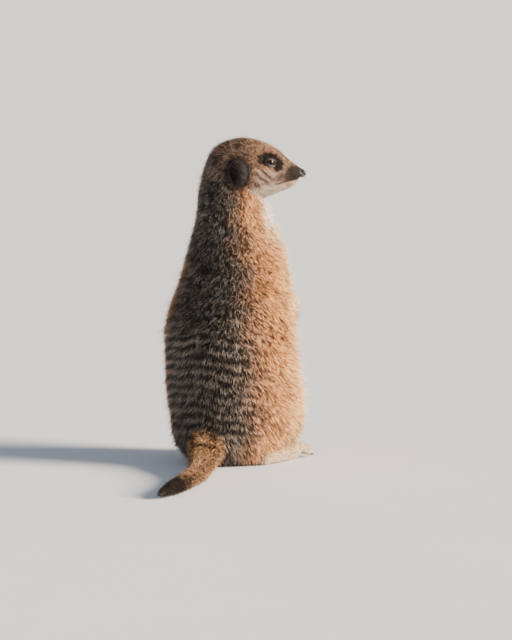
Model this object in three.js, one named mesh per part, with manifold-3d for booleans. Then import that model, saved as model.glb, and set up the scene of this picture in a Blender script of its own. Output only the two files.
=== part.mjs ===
// A life-size meerkat sitting upright on its haunches, looking over its right shoulder, its tail laid
// out on the floor behind it. Millimetres, +Z up. The animal's body faces -Y and its right side is -X.
// The origin is the middle of the flat under its rump. Every surface here is where the coat ends.
import * as THREE from "three";
import { ParametricGeometry } from "three/addons/geometries/ParametricGeometry.js";
import { mergeVertices } from "three/addons/utils/BufferGeometryUtils.js";
import Module from "manifold-3d";

const wasm = await Module();
wasm.setup();

// Driving dimensions
const GAP = 0.3; // between two pieces that touch
const HEAD_TURN = 60; // degrees, from straight ahead to the animal's right
const HEAD_CENTRE = new THREE.Vector3(-3.5, -5.5, 237);
const NECK_BASE = 190; // height where the chest ends
const CHEST_BASE = 126; // height where the belly starts
const BELLY_BASE = 62; // height where the rump starts
const EYE_RADIUS = 5.6;
const TAIL_CUTS = [0.3, 0.56, 0.8]; // shares of the tail's length
const TOES = 4; // on each foot

const SIDES = [
  { name: "right", side: -1 },
  { name: "left", side: 1 },
];

const COLOURS = {
  coat: { color: 0xa5835f, roughness: 0.9 },
  dark_fur: { color: 0x2b211b, roughness: 0.9 },
  paw: { color: 0xb08e6b, roughness: 0.88 },
  nose: { color: 0x1e1714, roughness: 0.45 },
  eye: { color: 0x150e0a, roughness: 0.08 },
  claw: { color: 0x2a211c, roughness: 0.4 },
};

// ---------------------------------------------------------------- curves and solids

// A smooth function through stations of [position, value], flat beyond both ends.
function profile(stations) {
  const x = stations.map((s) => s[0]);
  const y = stations.map((s) => s[1]);
  const last = x.length - 1;
  const slope = x.map((_, i) => {
    const a = Math.max(i - 1, 0);
    const b = Math.min(i + 1, last);
    return (y[b] - y[a]) / (x[b] - x[a]);
  });
  return (at) => {
    const p = Math.min(Math.max(at, x[0]), x[last]);
    let i = 0;
    while (i < last - 1 && p > x[i + 1]) i += 1;
    const width = x[i + 1] - x[i];
    const t = (p - x[i]) / width;
    const rise = y[i + 1] - y[i];
    const from = slope[i] * width - rise;
    const to = rise - slope[i + 1] * width;
    return y[i] + t * rise + t * (1 - t) * (from * (1 - t) + to * t);
  };
}

// One profile for each named column of a table of stations, whose first column is the position.
function profiles(columns, table) {
  return Object.fromEntries(
    columns.map((name, i) => [name, profile(table.map((row) => [row[0], row[i + 1]]))]),
  );
}

// A closed surface from a function of (share round, share along) that meets itself at both ends.
function closed(pointAt, around, along) {
  const wrapped = (u, v, target) => pointAt(u % 1, v, target);
  const geometry = new ParametricGeometry(wrapped, around, along);
  return solidOf(geometry);
}

function solidOf(geometry) {
  geometry.deleteAttribute("normal");
  geometry.deleteAttribute("uv");
  const merged = mergeVertices(geometry, 1e-3);
  const index = merged.index.array;
  const outward = [];
  const inward = [];
  for (let i = 0; i < index.length; i += 3) {
    const [a, b, c] = index.subarray(i, i + 3);
    if (a === b || b === c || c === a) continue;
    outward.push(a, b, c);
    inward.push(a, c, b);
  }
  const build = (triangles) =>
    new wasm.Manifold(
      new wasm.Mesh({
        numProp: 3,
        vertProperties: merged.attributes.position.array,
        triVerts: new Uint32Array(triangles),
      }),
    );
  const made = build(outward);
  return made.volume() > 0 ? made : build(inward);
}

// The biggest of the bodies that a cut leaves.
function biggest(solid) {
  return solid.decompose().reduce((a, b) => (b.volume() > a.volume() ? b : a));
}

function without(solid, ...cutters) {
  return cutters.reduce((rest, cutter) => rest.subtract(cutter), solid);
}

// A block over the whole plan, between two heights.
function layer(low, high) {
  const block = new THREE.BoxGeometry(600, 700, high - low);
  return solidOf(block.translate(0, 60, (low + high) / 2));
}

const ABOVE_FLOOR = layer(0, 400);
const signedPower = (value, power) => Math.sign(value) * Math.abs(value) ** power;

// A limb or digit: rings along a curve, [half width, half depth] at even steps, with rounded ends.
// Half widths lie along `across`, made square to the curve.
function limb({ path, sizes, across, ends = [0.2, 0.2], around = 14, along = 10, bulge = 2 }, grow = 0) {
  const curve = new THREE.CatmullRomCurve3(path);
  const steps = sizes.map((size, i) => [i / (sizes.length - 1), ...size]);
  const half = profiles(["width", "depth"], steps);
  return closed(
    (u, v, target) => {
      const s = (1 - Math.cos(Math.PI * v)) / 2;
      const place = curve.getPointAt(s);
      const tangent = curve.getTangentAt(s);
      const side = across.clone().addScaledVector(tangent, -across.dot(tangent)).normalize();
      const other = new THREE.Vector3().crossVectors(tangent, side);
      const start = Math.min(s / ends[0], 1);
      const end = Math.min((1 - s) / ends[1], 1);
      const round = Math.sqrt(1 - (1 - start) ** 2) * Math.sqrt(1 - (1 - end) ** 2);
      const angle = 2 * Math.PI * u;
      target.copy(place).addScaledVector(tangent, grow * (2 * s - 1));
      target.addScaledVector(side, (half.width(s) + grow) * round * signedPower(Math.cos(angle), 2 / bulge));
      target.addScaledVector(other, (half.depth(s) + grow) * round * signedPower(Math.sin(angle), 2 / bulge));
    },
    around,
    along,
  );
}

function ellipsoid(centre, radii, grow = 0, around = 12, along = 7) {
  const ball = new THREE.SphereGeometry(1, around, along);
  ball.scale(radii.x + grow, radii.y + grow, radii.z + grow);
  return solidOf(ball.translate(centre.x, centre.y, centre.z));
}

// ---------------------------------------------------------------- trunk and neck

// Rings at each height: lean to the left, middle (+ is towards the back), half width, and depth to
// the front and the back. The neck leans with the turned skull.
const TRUNK = profiles(["lean", "middle", "width", "front", "back"], [
  [-5, 0, 8, 27, 22, 26],
  [6, 0, 8, 40.5, 32, 40],
  [20, 0, 7, 48, 39, 47.5],
  [40, 0, 6, 52, 45, 50],
  [62, 0, 7, 54, 49, 53],
  [86, 0, 8, 54, 50, 55],
  [108, 0, 9, 54, 45.5, 54],
  [126, 0, 7, 51, 44, 50],
  [146, 0, 4, 45, 42, 44],
  [166, 0, 2, 40, 42.5, 41],
  [184, 0, 3, 35.5, 40.5, 34.5],
  [196, 0, 5, 30.5, 35, 30],
  [208, 0.5, 5, 27.8, 29, 29],
  [222, 2.5, 4, 26, 28, 26.5],
  [236, 5, 3, 21.5, 25, 21],
  [248, 7, 2, 14, 16, 12],
]);
const TRUNK_SPAN = [-5, 248];
const TRUNK_ENDS = [0.07, 0.05];

function trunk(grow = 0) {
  const [low, high] = TRUNK_SPAN;
  return closed(
    (u, v, target) => {
      const s = v < 1e-9 ? 0 : v > 1 - 1e-9 ? 1 : v ** 1.1;
      const height = low + (high - low) * s;
      const angle = 2 * Math.PI * u;
      const start = Math.min(s / TRUNK_ENDS[0], 1);
      const end = Math.min((1 - s) / TRUNK_ENDS[1], 1);
      const round = Math.sqrt(1 - (1 - start) ** 2) * Math.sqrt(1 - (1 - end) ** 2);
      const depth = Math.sin(angle) > 0 ? TRUNK.back(height) : TRUNK.front(height);
      target.set(
        TRUNK.lean(height) + (TRUNK.width(height) + grow) * round * signedPower(Math.cos(angle), 0.94),
        TRUNK.middle(height) + (depth + grow) * round * signedPower(Math.sin(angle), 0.94),
        height + grow * (2 * s - 1),
      );
    },
    22,
    21,
  );
}

// ---------------------------------------------------------------- head, in its own frame

// The head faces +X here, +Y is its left and +Z up; headPlace turns and lifts it onto the neck.
const headPlace = new THREE.Matrix4()
  .makeRotationZ(THREE.MathUtils.degToRad(-90 - HEAD_TURN))
  .setPosition(HEAD_CENTRE);

// Sections from the back of the skull to the nose: crown, underside and half width.
const HEAD = profiles(["top", "bottom", "width"], [
  [-33, 4, -9, 10],
  [-29, 12, -16, 17.5],
  [-24, 18.4, -20, 22],
  [-17, 22.9, -23.5, 25.6],
  [-8, 26.1, -25, 27.6],
  [0, 27, -25, 28],
  [9, 26, -24, 26.6],
  [17, 23.8, -21.8, 23.4],
  [24, 20.4, -19.2, 18.8],
  [30, 16.4, -16.6, 13.6],
  [34.5, 12.2, -15, 10.2],
  [38, 8.8, -13.4, 8.7],
  [41.2, 6.2, -11, 7.7],
  [44.5, 4, -7.8, 6.7],
  [47, 2.6, -6.6, 6],
  [49.5, 0.8, -5.4, 4.8],
]);
const HEAD_SPAN = [-33, 49.5];
const EYE = { along: 24.1, up: 8.5, out: 17.7, forward: 38 }; // `forward` is degrees from sideways
const CHEEK = { along: 9, up: -13, reach: 11, swell: 1.6 };
const SOCKET = { reach: 8, depth: 2.2 };
const STOP = { along: 33, up: 8, reach: 7, depth: 0.8 }; // the dip between brow and muzzle

const nearness = (along, up, place) =>
  Math.exp(-((along - place.along) ** 2 + (up - place.up) ** 2) / place.reach ** 2);

function headPoint(u, v, target, grow) {
  const [back, front] = HEAD_SPAN;
  const s = (1 - Math.cos(Math.PI * v)) / 2;
  const along = back + (front - back) * s;
  const angle = 2 * Math.PI * u;
  const start = Math.min(s / 0.12, 1);
  const end = Math.min((1 - s) / 0.06, 1);
  const round = Math.sqrt(1 - (1 - start) ** 2) * Math.sqrt(1 - (1 - end) ** 2);
  const middle = (HEAD.top(along) + HEAD.bottom(along)) / 2;
  const tall = (HEAD.top(along) - HEAD.bottom(along)) / 2;
  const up = middle + (tall + grow) * round * signedPower(Math.sin(angle), 0.96);
  const flank = Math.abs(Math.cos(angle));
  const shift =
    CHEEK.swell * nearness(along, up, CHEEK) -
    SOCKET.depth * nearness(along, up, { ...EYE, ...SOCKET }) -
    STOP.depth * nearness(along, up, STOP);
  const out = (HEAD.width(along) + grow) * round * flank ** 0.96 + shift * flank ** 0.5 * round;
  target.set(along + grow * (2 * s - 1), Math.sign(Math.cos(angle)) * out, up);
}

function headShape(grow = 0) {
  return closed((u, v, target) => headPoint(u, v, target, grow), 28, 22).transform(
    headPlace.elements,
  );
}

function eyeCentre(side) {
  return new THREE.Vector3(EYE.along, side * EYE.out, EYE.up).sub(
    eyeDirection(side).multiplyScalar(EYE_RADIUS),
  );
}

function eyeDirection(side) {
  const turn = THREE.MathUtils.degToRad(EYE.forward);
  return new THREE.Vector3(Math.sin(turn), side * Math.cos(turn), 0.12).normalize();
}

function eye(side, grow = 0) {
  const centre = eyeCentre(side);
  const radius = EYE_RADIUS + grow;
  const ball = new THREE.SphereGeometry(radius, 10, 7).translate(centre.x, centre.y, centre.z);
  return solidOf(ball).transform(headPlace.elements);
}

// The bare pad at the muzzle's tip.
function nose(grow = 0) {
  const pad = new THREE.SphereGeometry(1, 10, 7);
  pad.scale(4.6 + grow, 4.4 + grow, 3.7 + grow);
  pad.rotateY(THREE.MathUtils.degToRad(20));
  return solidOf(pad.translate(46.9, 0, -1.5)).transform(headPlace.elements);
}

// A low crescent ear: a flat egg with its hollow opening outwards.
const EAR = { along: -4.3, up: 0, out: 26.8, radii: [10.4, 6, 12.4], flare: 16 };
const HOLLOW = { along: -2, out: 7.6, radii: [5, 4.8, 9.2] }; // its middle, from the ear's

// An egg set on the side of the head, its back edge flared out from the head.
function earEgg(side, radii, along = 0, out = 0, grow = 0) {
  const centre = new THREE.Vector3(along, side * out, 0);
  const turn = new THREE.Matrix4()
    .makeRotationZ(THREE.MathUtils.degToRad(side * EAR.flare))
    .setPosition(EAR.along, side * EAR.out, EAR.up);
  const egg = ellipsoid(centre, new THREE.Vector3(...radii), grow);
  return egg.transform(turn.elements).transform(headPlace.elements);
}

function ear(side) {
  const hollow = earEgg(side, HOLLOW.radii, HOLLOW.along, HOLLOW.out);
  return earEgg(side, EAR.radii).subtract(hollow).subtract(headShape(GAP));
}

// ---------------------------------------------------------------- limbs

const at = (side, x, y, z) => new THREE.Vector3(side * x, y, z);
const ACROSS = new THREE.Vector3(1, 0, 0);

const upperArm = (side) => ({
  path: [at(side, 20, -12, 178), at(side, 27, -12, 158), at(side, 34, -9, 138), at(side, 36, -8, 119)],
  sizes: [[11, 16], [14, 18], [13, 15], [10, 10]],
  across: ACROSS,
  ends: [0.3, 0.25],
  around: 10,
  along: 6,
});

const forearm = (side) => ({
  path: [at(side, 36, -6, 122), at(side, 32, -28, 124), at(side, 23, -52, 129)],
  sizes: [[8.5, 9.5], [9, 9], [6.6, 7]],
  across: new THREE.Vector3(0, 0, 1),
  ends: [0.15, 0.12],
  around: 10,
  along: 7,
});

const PAW = {
  wrist: [22.5, -52, 130],
  knuckles: [20.5, -52, 112],
  spread: 3.9, // between neighbouring toes
  toeLength: 11,
  toeRadius: 2.7,
  droop: -0.12, // the toes lean back to the belly
};

const foreClaw = { length: 11, radius: 1.35, hook: 3.2 };

function foreToe(side, toe) {
  const [x, y, z] = PAW.knuckles;
  const shift = (toe - (TOES - 1) / 2) * PAW.spread;
  const reach = PAW.toeLength - Math.abs(toe - 1.4) * 1.4;
  const root = at(side, x + shift * 0.85, y, z + 3);
  const tip = at(side, x + shift, y - PAW.droop * reach * 2, z - reach);
  return { root, tip };
}

function foreToeLimb(side, toe) {
  const { root, tip } = foreToe(side, toe);
  const middle = root.clone().lerp(tip, 0.5).add(new THREE.Vector3(0, -1.2, 0));
  const radius = PAW.toeRadius;
  return {
    path: [root, middle, tip],
    sizes: [[radius, radius + 0.6], [radius, radius + 0.5], [radius - 0.4, radius - 0.1]],
    across: ACROSS,
    ends: [0.25, 0.25],
    around: 6,
    along: 4,
  };
}

function forepaw(side) {
  const palm = limb({
    path: [at(side, ...PAW.wrist), at(side, 21.8, -54, 120), at(side, 20.5, -52, 108)],
    sizes: [[6.2, 5.6], [8.2, 5.6], [8.4, 4.4]],
    across: ACROSS,
    ends: [0.25, 0.3],
    around: 10,
    along: 6,
  });
  return [...Array(TOES).keys()].reduce((paw, toe) => paw.add(limb(foreToeLimb(side, toe))), palm);
}

const thigh = (side) => ({
  path: [at(side, 24, 34, 38), at(side, 31, 12, 48), at(side, 34, -14, 54), at(side, 33, -38, 54)],
  sizes: [[13, 20], [20, 34], [20, 33], [13, 17]],
  across: ACROSS,
  ends: [0.3, 0.32],
  around: 12,
  along: 7,
});

const shank = (side) => ({
  path: [at(side, 33, -38, 46), at(side, 35, -18, 28), at(side, 35, 12, 14)],
  sizes: [[13, 14], [14.5, 17], [10, 12]],
  across: ACROSS,
  ends: [0.3, 0.25],
  around: 10,
  along: 7,
});

const FOOT = { heel: [34, 22, 9], ball: [37.5, -30, 9.6], spread: 4.5, toeLength: 15.5, toeRadius: 4 };
const FOOT_SPLAY = 0.8; // how far the toes' tips lie outside their roots
const hindClaw = { length: 8, radius: 1.4, hook: 1.6 };

function hindToe(side, toe) {
  const [x, y] = FOOT.ball;
  const shift = (toe - (TOES - 1) / 2) * FOOT.spread;
  const reach = FOOT.toeLength - Math.abs(toe - 1.4) * 2.4;
  return {
    root: at(side, x + shift * 0.8, y + 6, 9),
    tip: at(side, x + shift * 1.05 + FOOT_SPLAY, y - reach, 3.3),
  };
}

function hindToeLimb(side, toe) {
  const { root, tip } = hindToe(side, toe);
  const middle = root.clone().lerp(tip, 0.5).setZ(FOOT.ball[2] + 1);
  const radius = FOOT.toeRadius;
  return {
    path: [root, middle, tip],
    sizes: [[radius, radius + 0.8], [radius, radius + 0.6], [radius - 0.7, radius - 0.1]],
    across: ACROSS,
    ends: [0.2, 0.22],
    around: 6,
    along: 4,
  };
}

const sole = (side) => ({
  path: [at(side, ...FOOT.heel), at(side, 36.5, 0, 9), at(side, FOOT.ball[0], FOOT.ball[1] - 4, 7)],
  sizes: [[8, 10], [9, 9.6], [10, 7.6]],
  across: ACROSS,
  ends: [0.16, 0.2],
  around: 10,
  along: 7,
});

function hindpaw(side) {
  const toes = [...Array(TOES).keys()].map((toe) => limb(hindToeLimb(side, toe)));
  return toes.reduce((paw, toe) => paw.add(toe), limb(sole(side)));
}

// A curved claw from the tip of a digit, bending towards `hook`.
function claw(tip, direction, hook, shape) {
  const start = tip.clone().addScaledVector(direction, -shape.radius * 2);
  const reach = shape.length + shape.radius * 2;
  const path = [0, 0.35, 0.7, 1].map((share) =>
    start
      .clone()
      .addScaledVector(direction, reach * share)
      .addScaledVector(hook, shape.hook * share ** 2),
  );
  const sizes = [1, 0.95, 0.62, 0.26].map((share) => [shape.radius * share * 0.75, shape.radius * share]);
  return limb({ path, sizes, across: ACROSS, ends: [0.12, 0.06], around: 4, along: 3 });
}

// ---------------------------------------------------------------- tail

const TAIL_PLAN = [[4, 22], [-3, 50], [-19, 84], [-35, 117], [-47, 150], [-54, 183], [-57, 216]];
const TAIL_HALF = profile([[0, 18], [0.16, 16.5], [0.3, 12.5], [0.5, 9.2], [0.72, 7.8], [0.88, 6.6], [1, 4.2]]);
const TAIL_SINK = 0.9; // how high the middle of the tail lies, in half thicknesses
const TAIL_ROOT_LIFT = 6;
const TAIL_RINGS = 10;

function tail(low, high, grow = 0) {
  const path = TAIL_PLAN.map(([x, y], i) => {
    const s = i / (TAIL_PLAN.length - 1);
    const lift = TAIL_ROOT_LIFT * Math.max(0, 1 - s / 0.4);
    return new THREE.Vector3(x, y, TAIL_HALF(s) * TAIL_SINK + lift);
  });
  const halves = [...Array(TAIL_RINGS + 1).keys()].map((i) => TAIL_HALF(i / TAIL_RINGS));
  const sizes = halves.map((half) => [half, half]);
  const whole = { path, sizes, across: ACROSS, ends: [0.05, 0.14], around: 10, along: 16 };
  return limb(whole, grow).intersect(lengthOf(path, low, high));
}

// A wedge of space round the tail, square to it at both shares of its length.
function lengthOf(path, low, high) {
  const curve = new THREE.CatmullRomCurve3(path);
  const wall = (share, sign) => {
    const tangent = curve.getTangentAt(share).setZ(0).normalize();
    const place = curve.getPointAt(share).addScaledVector(tangent, sign * (GAP / 2));
    const turn = Math.atan2(tangent.y, tangent.x);
    const block = new THREE.BoxGeometry(400, 600, 200).translate(sign * 200, 0, 0).rotateZ(turn);
    return solidOf(block.translate(place.x, place.y, 0));
  };
  const ahead = low > 0 ? wall(low, 1) : layer(-100, 100);
  return high < 1 ? ahead.intersect(wall(high, -1)) : ahead;
}

// ---------------------------------------------------------------- the pieces

const meerkat = new THREE.Group();
meerkat.name = "meerkat";

function place(name, solid, colour) {
  const { vertProperties, triVerts } = biggest(solid.intersect(ABOVE_FLOOR)).getMesh();
  const geometry = new THREE.BufferGeometry();
  geometry.setAttribute("position", new THREE.BufferAttribute(vertProperties, 3));
  geometry.setIndex(new THREE.BufferAttribute(triVerts, 1));
  const mesh = new THREE.Mesh(geometry, new THREE.MeshStandardMaterial(COLOURS[colour]));
  mesh.name = name;
  meerkat.add(mesh);
}

// The head, with its eyes, nose and ears
const headSockets = SIDES.map(({ side }) => eye(side, GAP));
place("head", without(headShape(), nose(GAP), ...headSockets), "coat");
place("nose", nose(), "nose");
for (const { name, side } of SIDES) {
  place("eye_" + name, eye(side), "eye");
  place("ear_" + name, ear(side), "dark_fur");
}

// The legs, from the body outwards, each cut clear of the one before it
const arms = SIDES.map(({ side }) => limb(upperArm(side), GAP));
const forearms = SIDES.map(({ side }) => limb(forearm(side), GAP));
const thighs = SIDES.map(({ side }) => limb(thigh(side), GAP));
const shanks = SIDES.map(({ side }) => limb(shank(side), GAP));

SIDES.forEach(({ name, side }, i) => {
  place("upper_arm_" + name, limb(upperArm(side)), "coat");
  place("forearm_" + name, limb(forearm(side)).subtract(arms[i]), "coat");
  place("forepaw_" + name, forepaw(side).subtract(forearms[i]), "paw");
  place("thigh_" + name, limb(thigh(side)), "coat");
  place("shank_" + name, limb(shank(side)).subtract(thighs[i]), "coat");
  place("hindpaw_" + name, without(hindpaw(side), thighs[i], shanks[i]), "paw");
});

// The claws, in the order of the toes from the animal's middle outwards
const DOWN = new THREE.Vector3(0, 0, -1);
const BACK = new THREE.Vector3(0, 1, 0);
for (const { name, side } of SIDES) {
  for (let toe = 0; toe < TOES; toe += 1) {
    const fore = foreToe(side, toe);
    const foreWay = fore.tip.clone().sub(fore.root).normalize();
    const foreSolid = claw(fore.tip, foreWay, BACK, foreClaw);
    place(`foreclaw_${name}_${toe + 1}`, foreSolid.subtract(limb(foreToeLimb(side, toe), GAP)), "claw");
    const hind = hindToe(side, toe);
    const hindWay = hind.tip.clone().sub(hind.root).setZ(0).normalize();
    const hindSolid = claw(hind.tip, hindWay, DOWN, hindClaw);
    place(`hindclaw_${name}_${toe + 1}`, hindSolid.subtract(limb(hindToeLimb(side, toe), GAP)), "claw");
  }
}

// The neck and the trunk, cut clear of the head and the legs that lie against them
const ears = SIDES.map(({ side }) => earEgg(side, EAR.radii, 0, 0, GAP));
const limbs = [...arms, ...forearms, ...thighs, ...shanks];
const soles = SIDES.map(({ side }) => limb(sole(side), GAP));
const body = without(trunk(), ...limbs, ...soles);
place("neck", without(body, headShape(GAP), ...ears).intersect(layer(NECK_BASE + GAP / 2, 300)), "coat");
place("chest", body.intersect(layer(CHEST_BASE + GAP / 2, NECK_BASE - GAP / 2)), "coat");
place("belly", body.intersect(layer(BELLY_BASE + GAP / 2, CHEST_BASE - GAP / 2)), "coat");
place("rump", body.intersect(layer(-10, BELLY_BASE - GAP / 2)), "coat");

// The tail, in four lengths
const tailEnds = [0, ...TAIL_CUTS, 1];
["tail_root", "tail_middle", "tail_end", "tail_tip"].forEach((name, i) => {
  const length = tail(tailEnds[i], tailEnds[i + 1]);
  const clear = without(length, trunk(GAP), ...thighs, ...shanks, ...soles);
  place(name, clear, i === 3 ? "dark_fur" : "coat");
});

export default meerkat;
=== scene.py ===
"""A sitting meerkat's looks: one skin under a coat of tufts, with separate eyes, nose pad and claws."""

import math

import bmesh
import bpy
import numpy as np
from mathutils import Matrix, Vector
from mathutils.bvhtree import BVHTree
from mathutils.kdtree import KDTree


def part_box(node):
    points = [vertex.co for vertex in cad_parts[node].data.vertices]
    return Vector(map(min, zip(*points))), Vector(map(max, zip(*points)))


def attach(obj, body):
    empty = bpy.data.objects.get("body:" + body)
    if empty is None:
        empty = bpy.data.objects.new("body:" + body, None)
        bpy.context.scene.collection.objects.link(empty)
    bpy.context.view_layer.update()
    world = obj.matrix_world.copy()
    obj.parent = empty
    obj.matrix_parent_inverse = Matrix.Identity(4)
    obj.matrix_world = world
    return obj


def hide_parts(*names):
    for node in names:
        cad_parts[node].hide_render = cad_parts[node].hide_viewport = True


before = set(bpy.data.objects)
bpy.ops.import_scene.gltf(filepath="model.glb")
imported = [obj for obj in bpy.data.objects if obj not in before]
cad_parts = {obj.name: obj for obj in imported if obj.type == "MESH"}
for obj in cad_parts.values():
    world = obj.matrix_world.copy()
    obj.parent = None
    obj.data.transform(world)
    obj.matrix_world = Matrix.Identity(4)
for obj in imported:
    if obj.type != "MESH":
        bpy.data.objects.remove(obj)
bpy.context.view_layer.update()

# Sizes are in millimetres, in the frame's axes: +Z up, the trunk faces -Y, the animal's right is -X.
MM = 0.001
SEED = 29
UP = np.array([0.0, 0.0, 1.0])

# The head's own axes: along to the nose, out to the animal's left, and up.
HEAD_TURN = math.radians(60)
HEAD_CENTRE = np.array([-3.5, -5.5, 237.0])
FORWARD = np.array([-math.sin(HEAD_TURN), -math.cos(HEAD_TURN), 0.0])
LEFT = np.array([math.cos(HEAD_TURN), -math.sin(HEAD_TURN), 0.0])
HEAD_AXES = np.array([FORWARD, LEFT, UP])
NOSE_TIP = np.array([50.0, 0.0, -1.5])
NOSE = {"middle": (46.9, 0.0, -1.5), "radii": (4.6, 4.4, 3.7), "tilt": math.radians(20)}

SIDES = {"right": -1, "left": 1}

# Each region's coat: how deep it lies over the skin, its tufts for each square mm, a tuft's width, and the
# degrees that it stands from the skin at its root and at its tip.
COAT = {
    "head": {"depth": 3.0, "density": 3.6, "width": 0.36, "lift": (56, 42)},
    "ear": {"depth": 1.2, "density": 3.4, "width": 0.26, "lift": (40, 26)},
    "neck": {"depth": 4.6, "density": 2.1, "width": 0.44, "lift": (60, 42)},
    "chest": {"depth": 5.6, "density": 1.7, "width": 0.48, "lift": (60, 42)},
    "belly": {"depth": 6.4, "density": 1.5, "width": 0.52, "lift": (60, 42)},
    "rump": {"depth": 6.4, "density": 1.4, "width": 0.52, "lift": (60, 42)},
    "upper_arm": {"depth": 4.4, "density": 1.5, "width": 0.48, "lift": (60, 42)},
    "forearm": {"depth": 2.6, "density": 1.8, "width": 0.38, "lift": (60, 42)},
    "forepaw": {"depth": 0.9, "density": 1.9, "width": 0.28, "lift": (24, 12)},
    "thigh": {"depth": 6.2, "density": 1.4, "width": 0.54, "lift": (60, 42)},
    "shank": {"depth": 3.6, "density": 1.4, "width": 0.46, "lift": (60, 42)},
    "hindpaw": {"depth": 1.2, "density": 1.8, "width": 0.3, "lift": (24, 12)},
    "tail_root": {"depth": 4.6, "density": 2.2, "width": 0.4, "lift": (42, 28)},
    "tail_middle": {"depth": 3.4, "density": 2.2, "width": 0.38, "lift": (42, 28)},
    "tail_end": {"depth": 2.7, "density": 2.2, "width": 0.36, "lift": (42, 28)},
    "tail_tip": {"depth": 2.2, "density": 2.4, "width": 0.36, "lift": (42, 28)},
}
REGIONS = list(COAT)
# On the head, the depth goes by the place along it, from the nape to the nose.
HEAD_DEPTH = {-33: 4.4, -20: 3.5, 0: 2.7, 14: 2.1, 24: 1.5, 34: 0.8, 42: 0.4, 50: 0.15}
FRONT_LIFT = (64, 50)  # on the trunk's front
MUZZLE_LIFT = (24, 12)


def region_of(node):
    """The coat region of a node of flesh. The eyes and the nose pad count as head, to fill their sockets."""
    name = node.removesuffix("_right").removesuffix("_left")
    return REGIONS.index("head" if name in ("eye", "nose") else name)


def in_regions(region, *names):
    """Which of the vertices are in the named regions."""
    return np.isin(region, [REGIONS.index(name) for name in names])


def of_regions(region, key):
    """A setting of each vertex's coat."""
    return np.array([COAT[name][key] for name in REGIONS])[region]


def to_head(points):
    """Points in the head's axes: along, out, up."""
    return (points - HEAD_CENTRE) @ HEAD_AXES.T


def from_head(points):
    """Points of the head's axes, in the frame's."""
    return np.asarray(points) @ HEAD_AXES + HEAD_CENTRE


def nose_axes(points):
    """Points in the nose pad's own axes: ahead, to the left, up."""
    c, s = math.cos(NOSE["tilt"]), math.sin(NOSE["tilt"])
    along, out, up = (to_head(points) - NOSE["middle"]).T
    return np.stack([along * c - up * s, out, along * s + up * c], axis=1)


def from_nose_axes(points):
    """Points of the nose pad's axes, in the frame's."""
    c, s = math.cos(NOSE["tilt"]), math.sin(NOSE["tilt"])
    ahead, side, up = points.T
    return from_head(np.stack([ahead * c + up * s, side, up * c - ahead * s], axis=1) + NOSE["middle"])


def step(low, high, value):
    """0 below `low`, 1 above `high`, with a smooth turn between them. Where `low` is the higher, it falls."""
    share = np.clip((value - low) / (high - low), 0.0, 1.0)
    return share * share * (3.0 - 2.0 * share)


def bell(value, middle, reach):
    """1 at `middle`, falling away over `reach`."""
    return np.exp(-(((value - middle) / reach) ** 2))


def along_table(table, value):
    """A value read off a table of {place: value}."""
    return np.interp(value, list(table), list(table.values()))


def unit(vectors):
    """Vectors made one long."""
    return vectors / np.maximum(np.linalg.norm(vectors, axis=-1, keepdims=True), 1e-9)


def rgb(*levels):
    """A colour given by its 0 to 255 screen levels, as linear light, by the sRGB formula."""
    share = np.array(levels) / 255
    return np.where(share <= 0.04045, share / 12.92, ((share + 0.055) / 1.055) ** 2.4)


LATTICE_SIDE = 32
LATTICE = np.random.default_rng(SEED).random((LATTICE_SIDE,) * 3)


def noise(points, size, shift=0.0):
    """Smooth noise from -1 to 1 whose blobs are `size` mm across."""
    place = points / size + shift
    cell = np.floor(place).astype(int)
    inside = place - cell
    inside = inside * inside * (3 - 2 * inside)
    total = np.zeros(len(points))
    for corner in np.ndindex(2, 2, 2):
        share = np.prod(np.where(corner, inside, 1 - inside), axis=1)
        total += share * LATTICE[tuple(((cell + corner) % LATTICE_SIDE).T)]
    return 2 * total - 1


def sides_of(faces):
    """The three sides of every triangle, as pairs of vertices."""
    return np.vstack([faces[:, [0, 1]], faces[:, [1, 2]], faces[:, [2, 0]]])


def corners_of(points, faces):
    """The places of every triangle's first, second and third corner."""
    return [points[faces[:, k]] for k in range(3)]


class Surface:
    """A triangle mesh in millimetres, with the sums that smoothing and sampling need."""

    def __init__(self, points, faces):
        self.points = points
        self.faces = faces
        count = len(points)
        sides = np.sort(sides_of(faces), axis=1)
        keys = np.unique(sides[:, 0].astype(np.int64) * count + sides[:, 1])
        self.edges = np.stack([keys // count, keys % count])
        self.degree = np.maximum(np.bincount(self.edges.ravel(), minlength=count), 1)

    def around(self, values):
        """The mean of `values` over each vertex's neighbours."""
        a, b = self.edges
        columns = values.reshape(len(values), -1)
        total = np.empty(columns.shape)
        count = len(values)
        for k in range(columns.shape[1]):
            total[:, k] = np.bincount(a, columns[b, k], count) + np.bincount(b, columns[a, k], count)
        return (total / self.degree[:, None]).reshape(values.shape)

    def blurred(self, values, rounds, share=0.5):
        """`values` spread over the surface; `share` may differ from vertex to vertex."""
        for _ in range(rounds):
            values = values + share * (self.around(values) - values)
        return values

    def face_normals(self):
        """Each face's normal, as long as twice its area."""
        a, b, c = corners_of(self.points, self.faces)
        return np.cross(b - a, c - a)

    def normals(self):
        """Each vertex's normal."""
        face = self.face_normals()
        total = np.zeros(self.points.shape)
        for k in range(3):
            for axis in range(3):
                total[:, axis] += np.bincount(self.faces[:, k], face[:, axis], len(self.points))
        return unit(total)

    def tree(self):
        """A tree for casting rays at the surface."""
        return BVHTree.FromPolygons(self.points.tolist(), self.faces.tolist())


def read_mesh(mesh):
    """A Blender mesh's points in millimetres and its faces, all triangles."""
    points = np.empty(len(mesh.vertices) * 3)
    mesh.vertices.foreach_get("co", points)
    faces = np.empty(len(mesh.polygons) * 3, int)
    mesh.polygons.foreach_get("vertices", faces)
    return points.reshape(-1, 3) / MM, faces.reshape(-1, 3)


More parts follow.
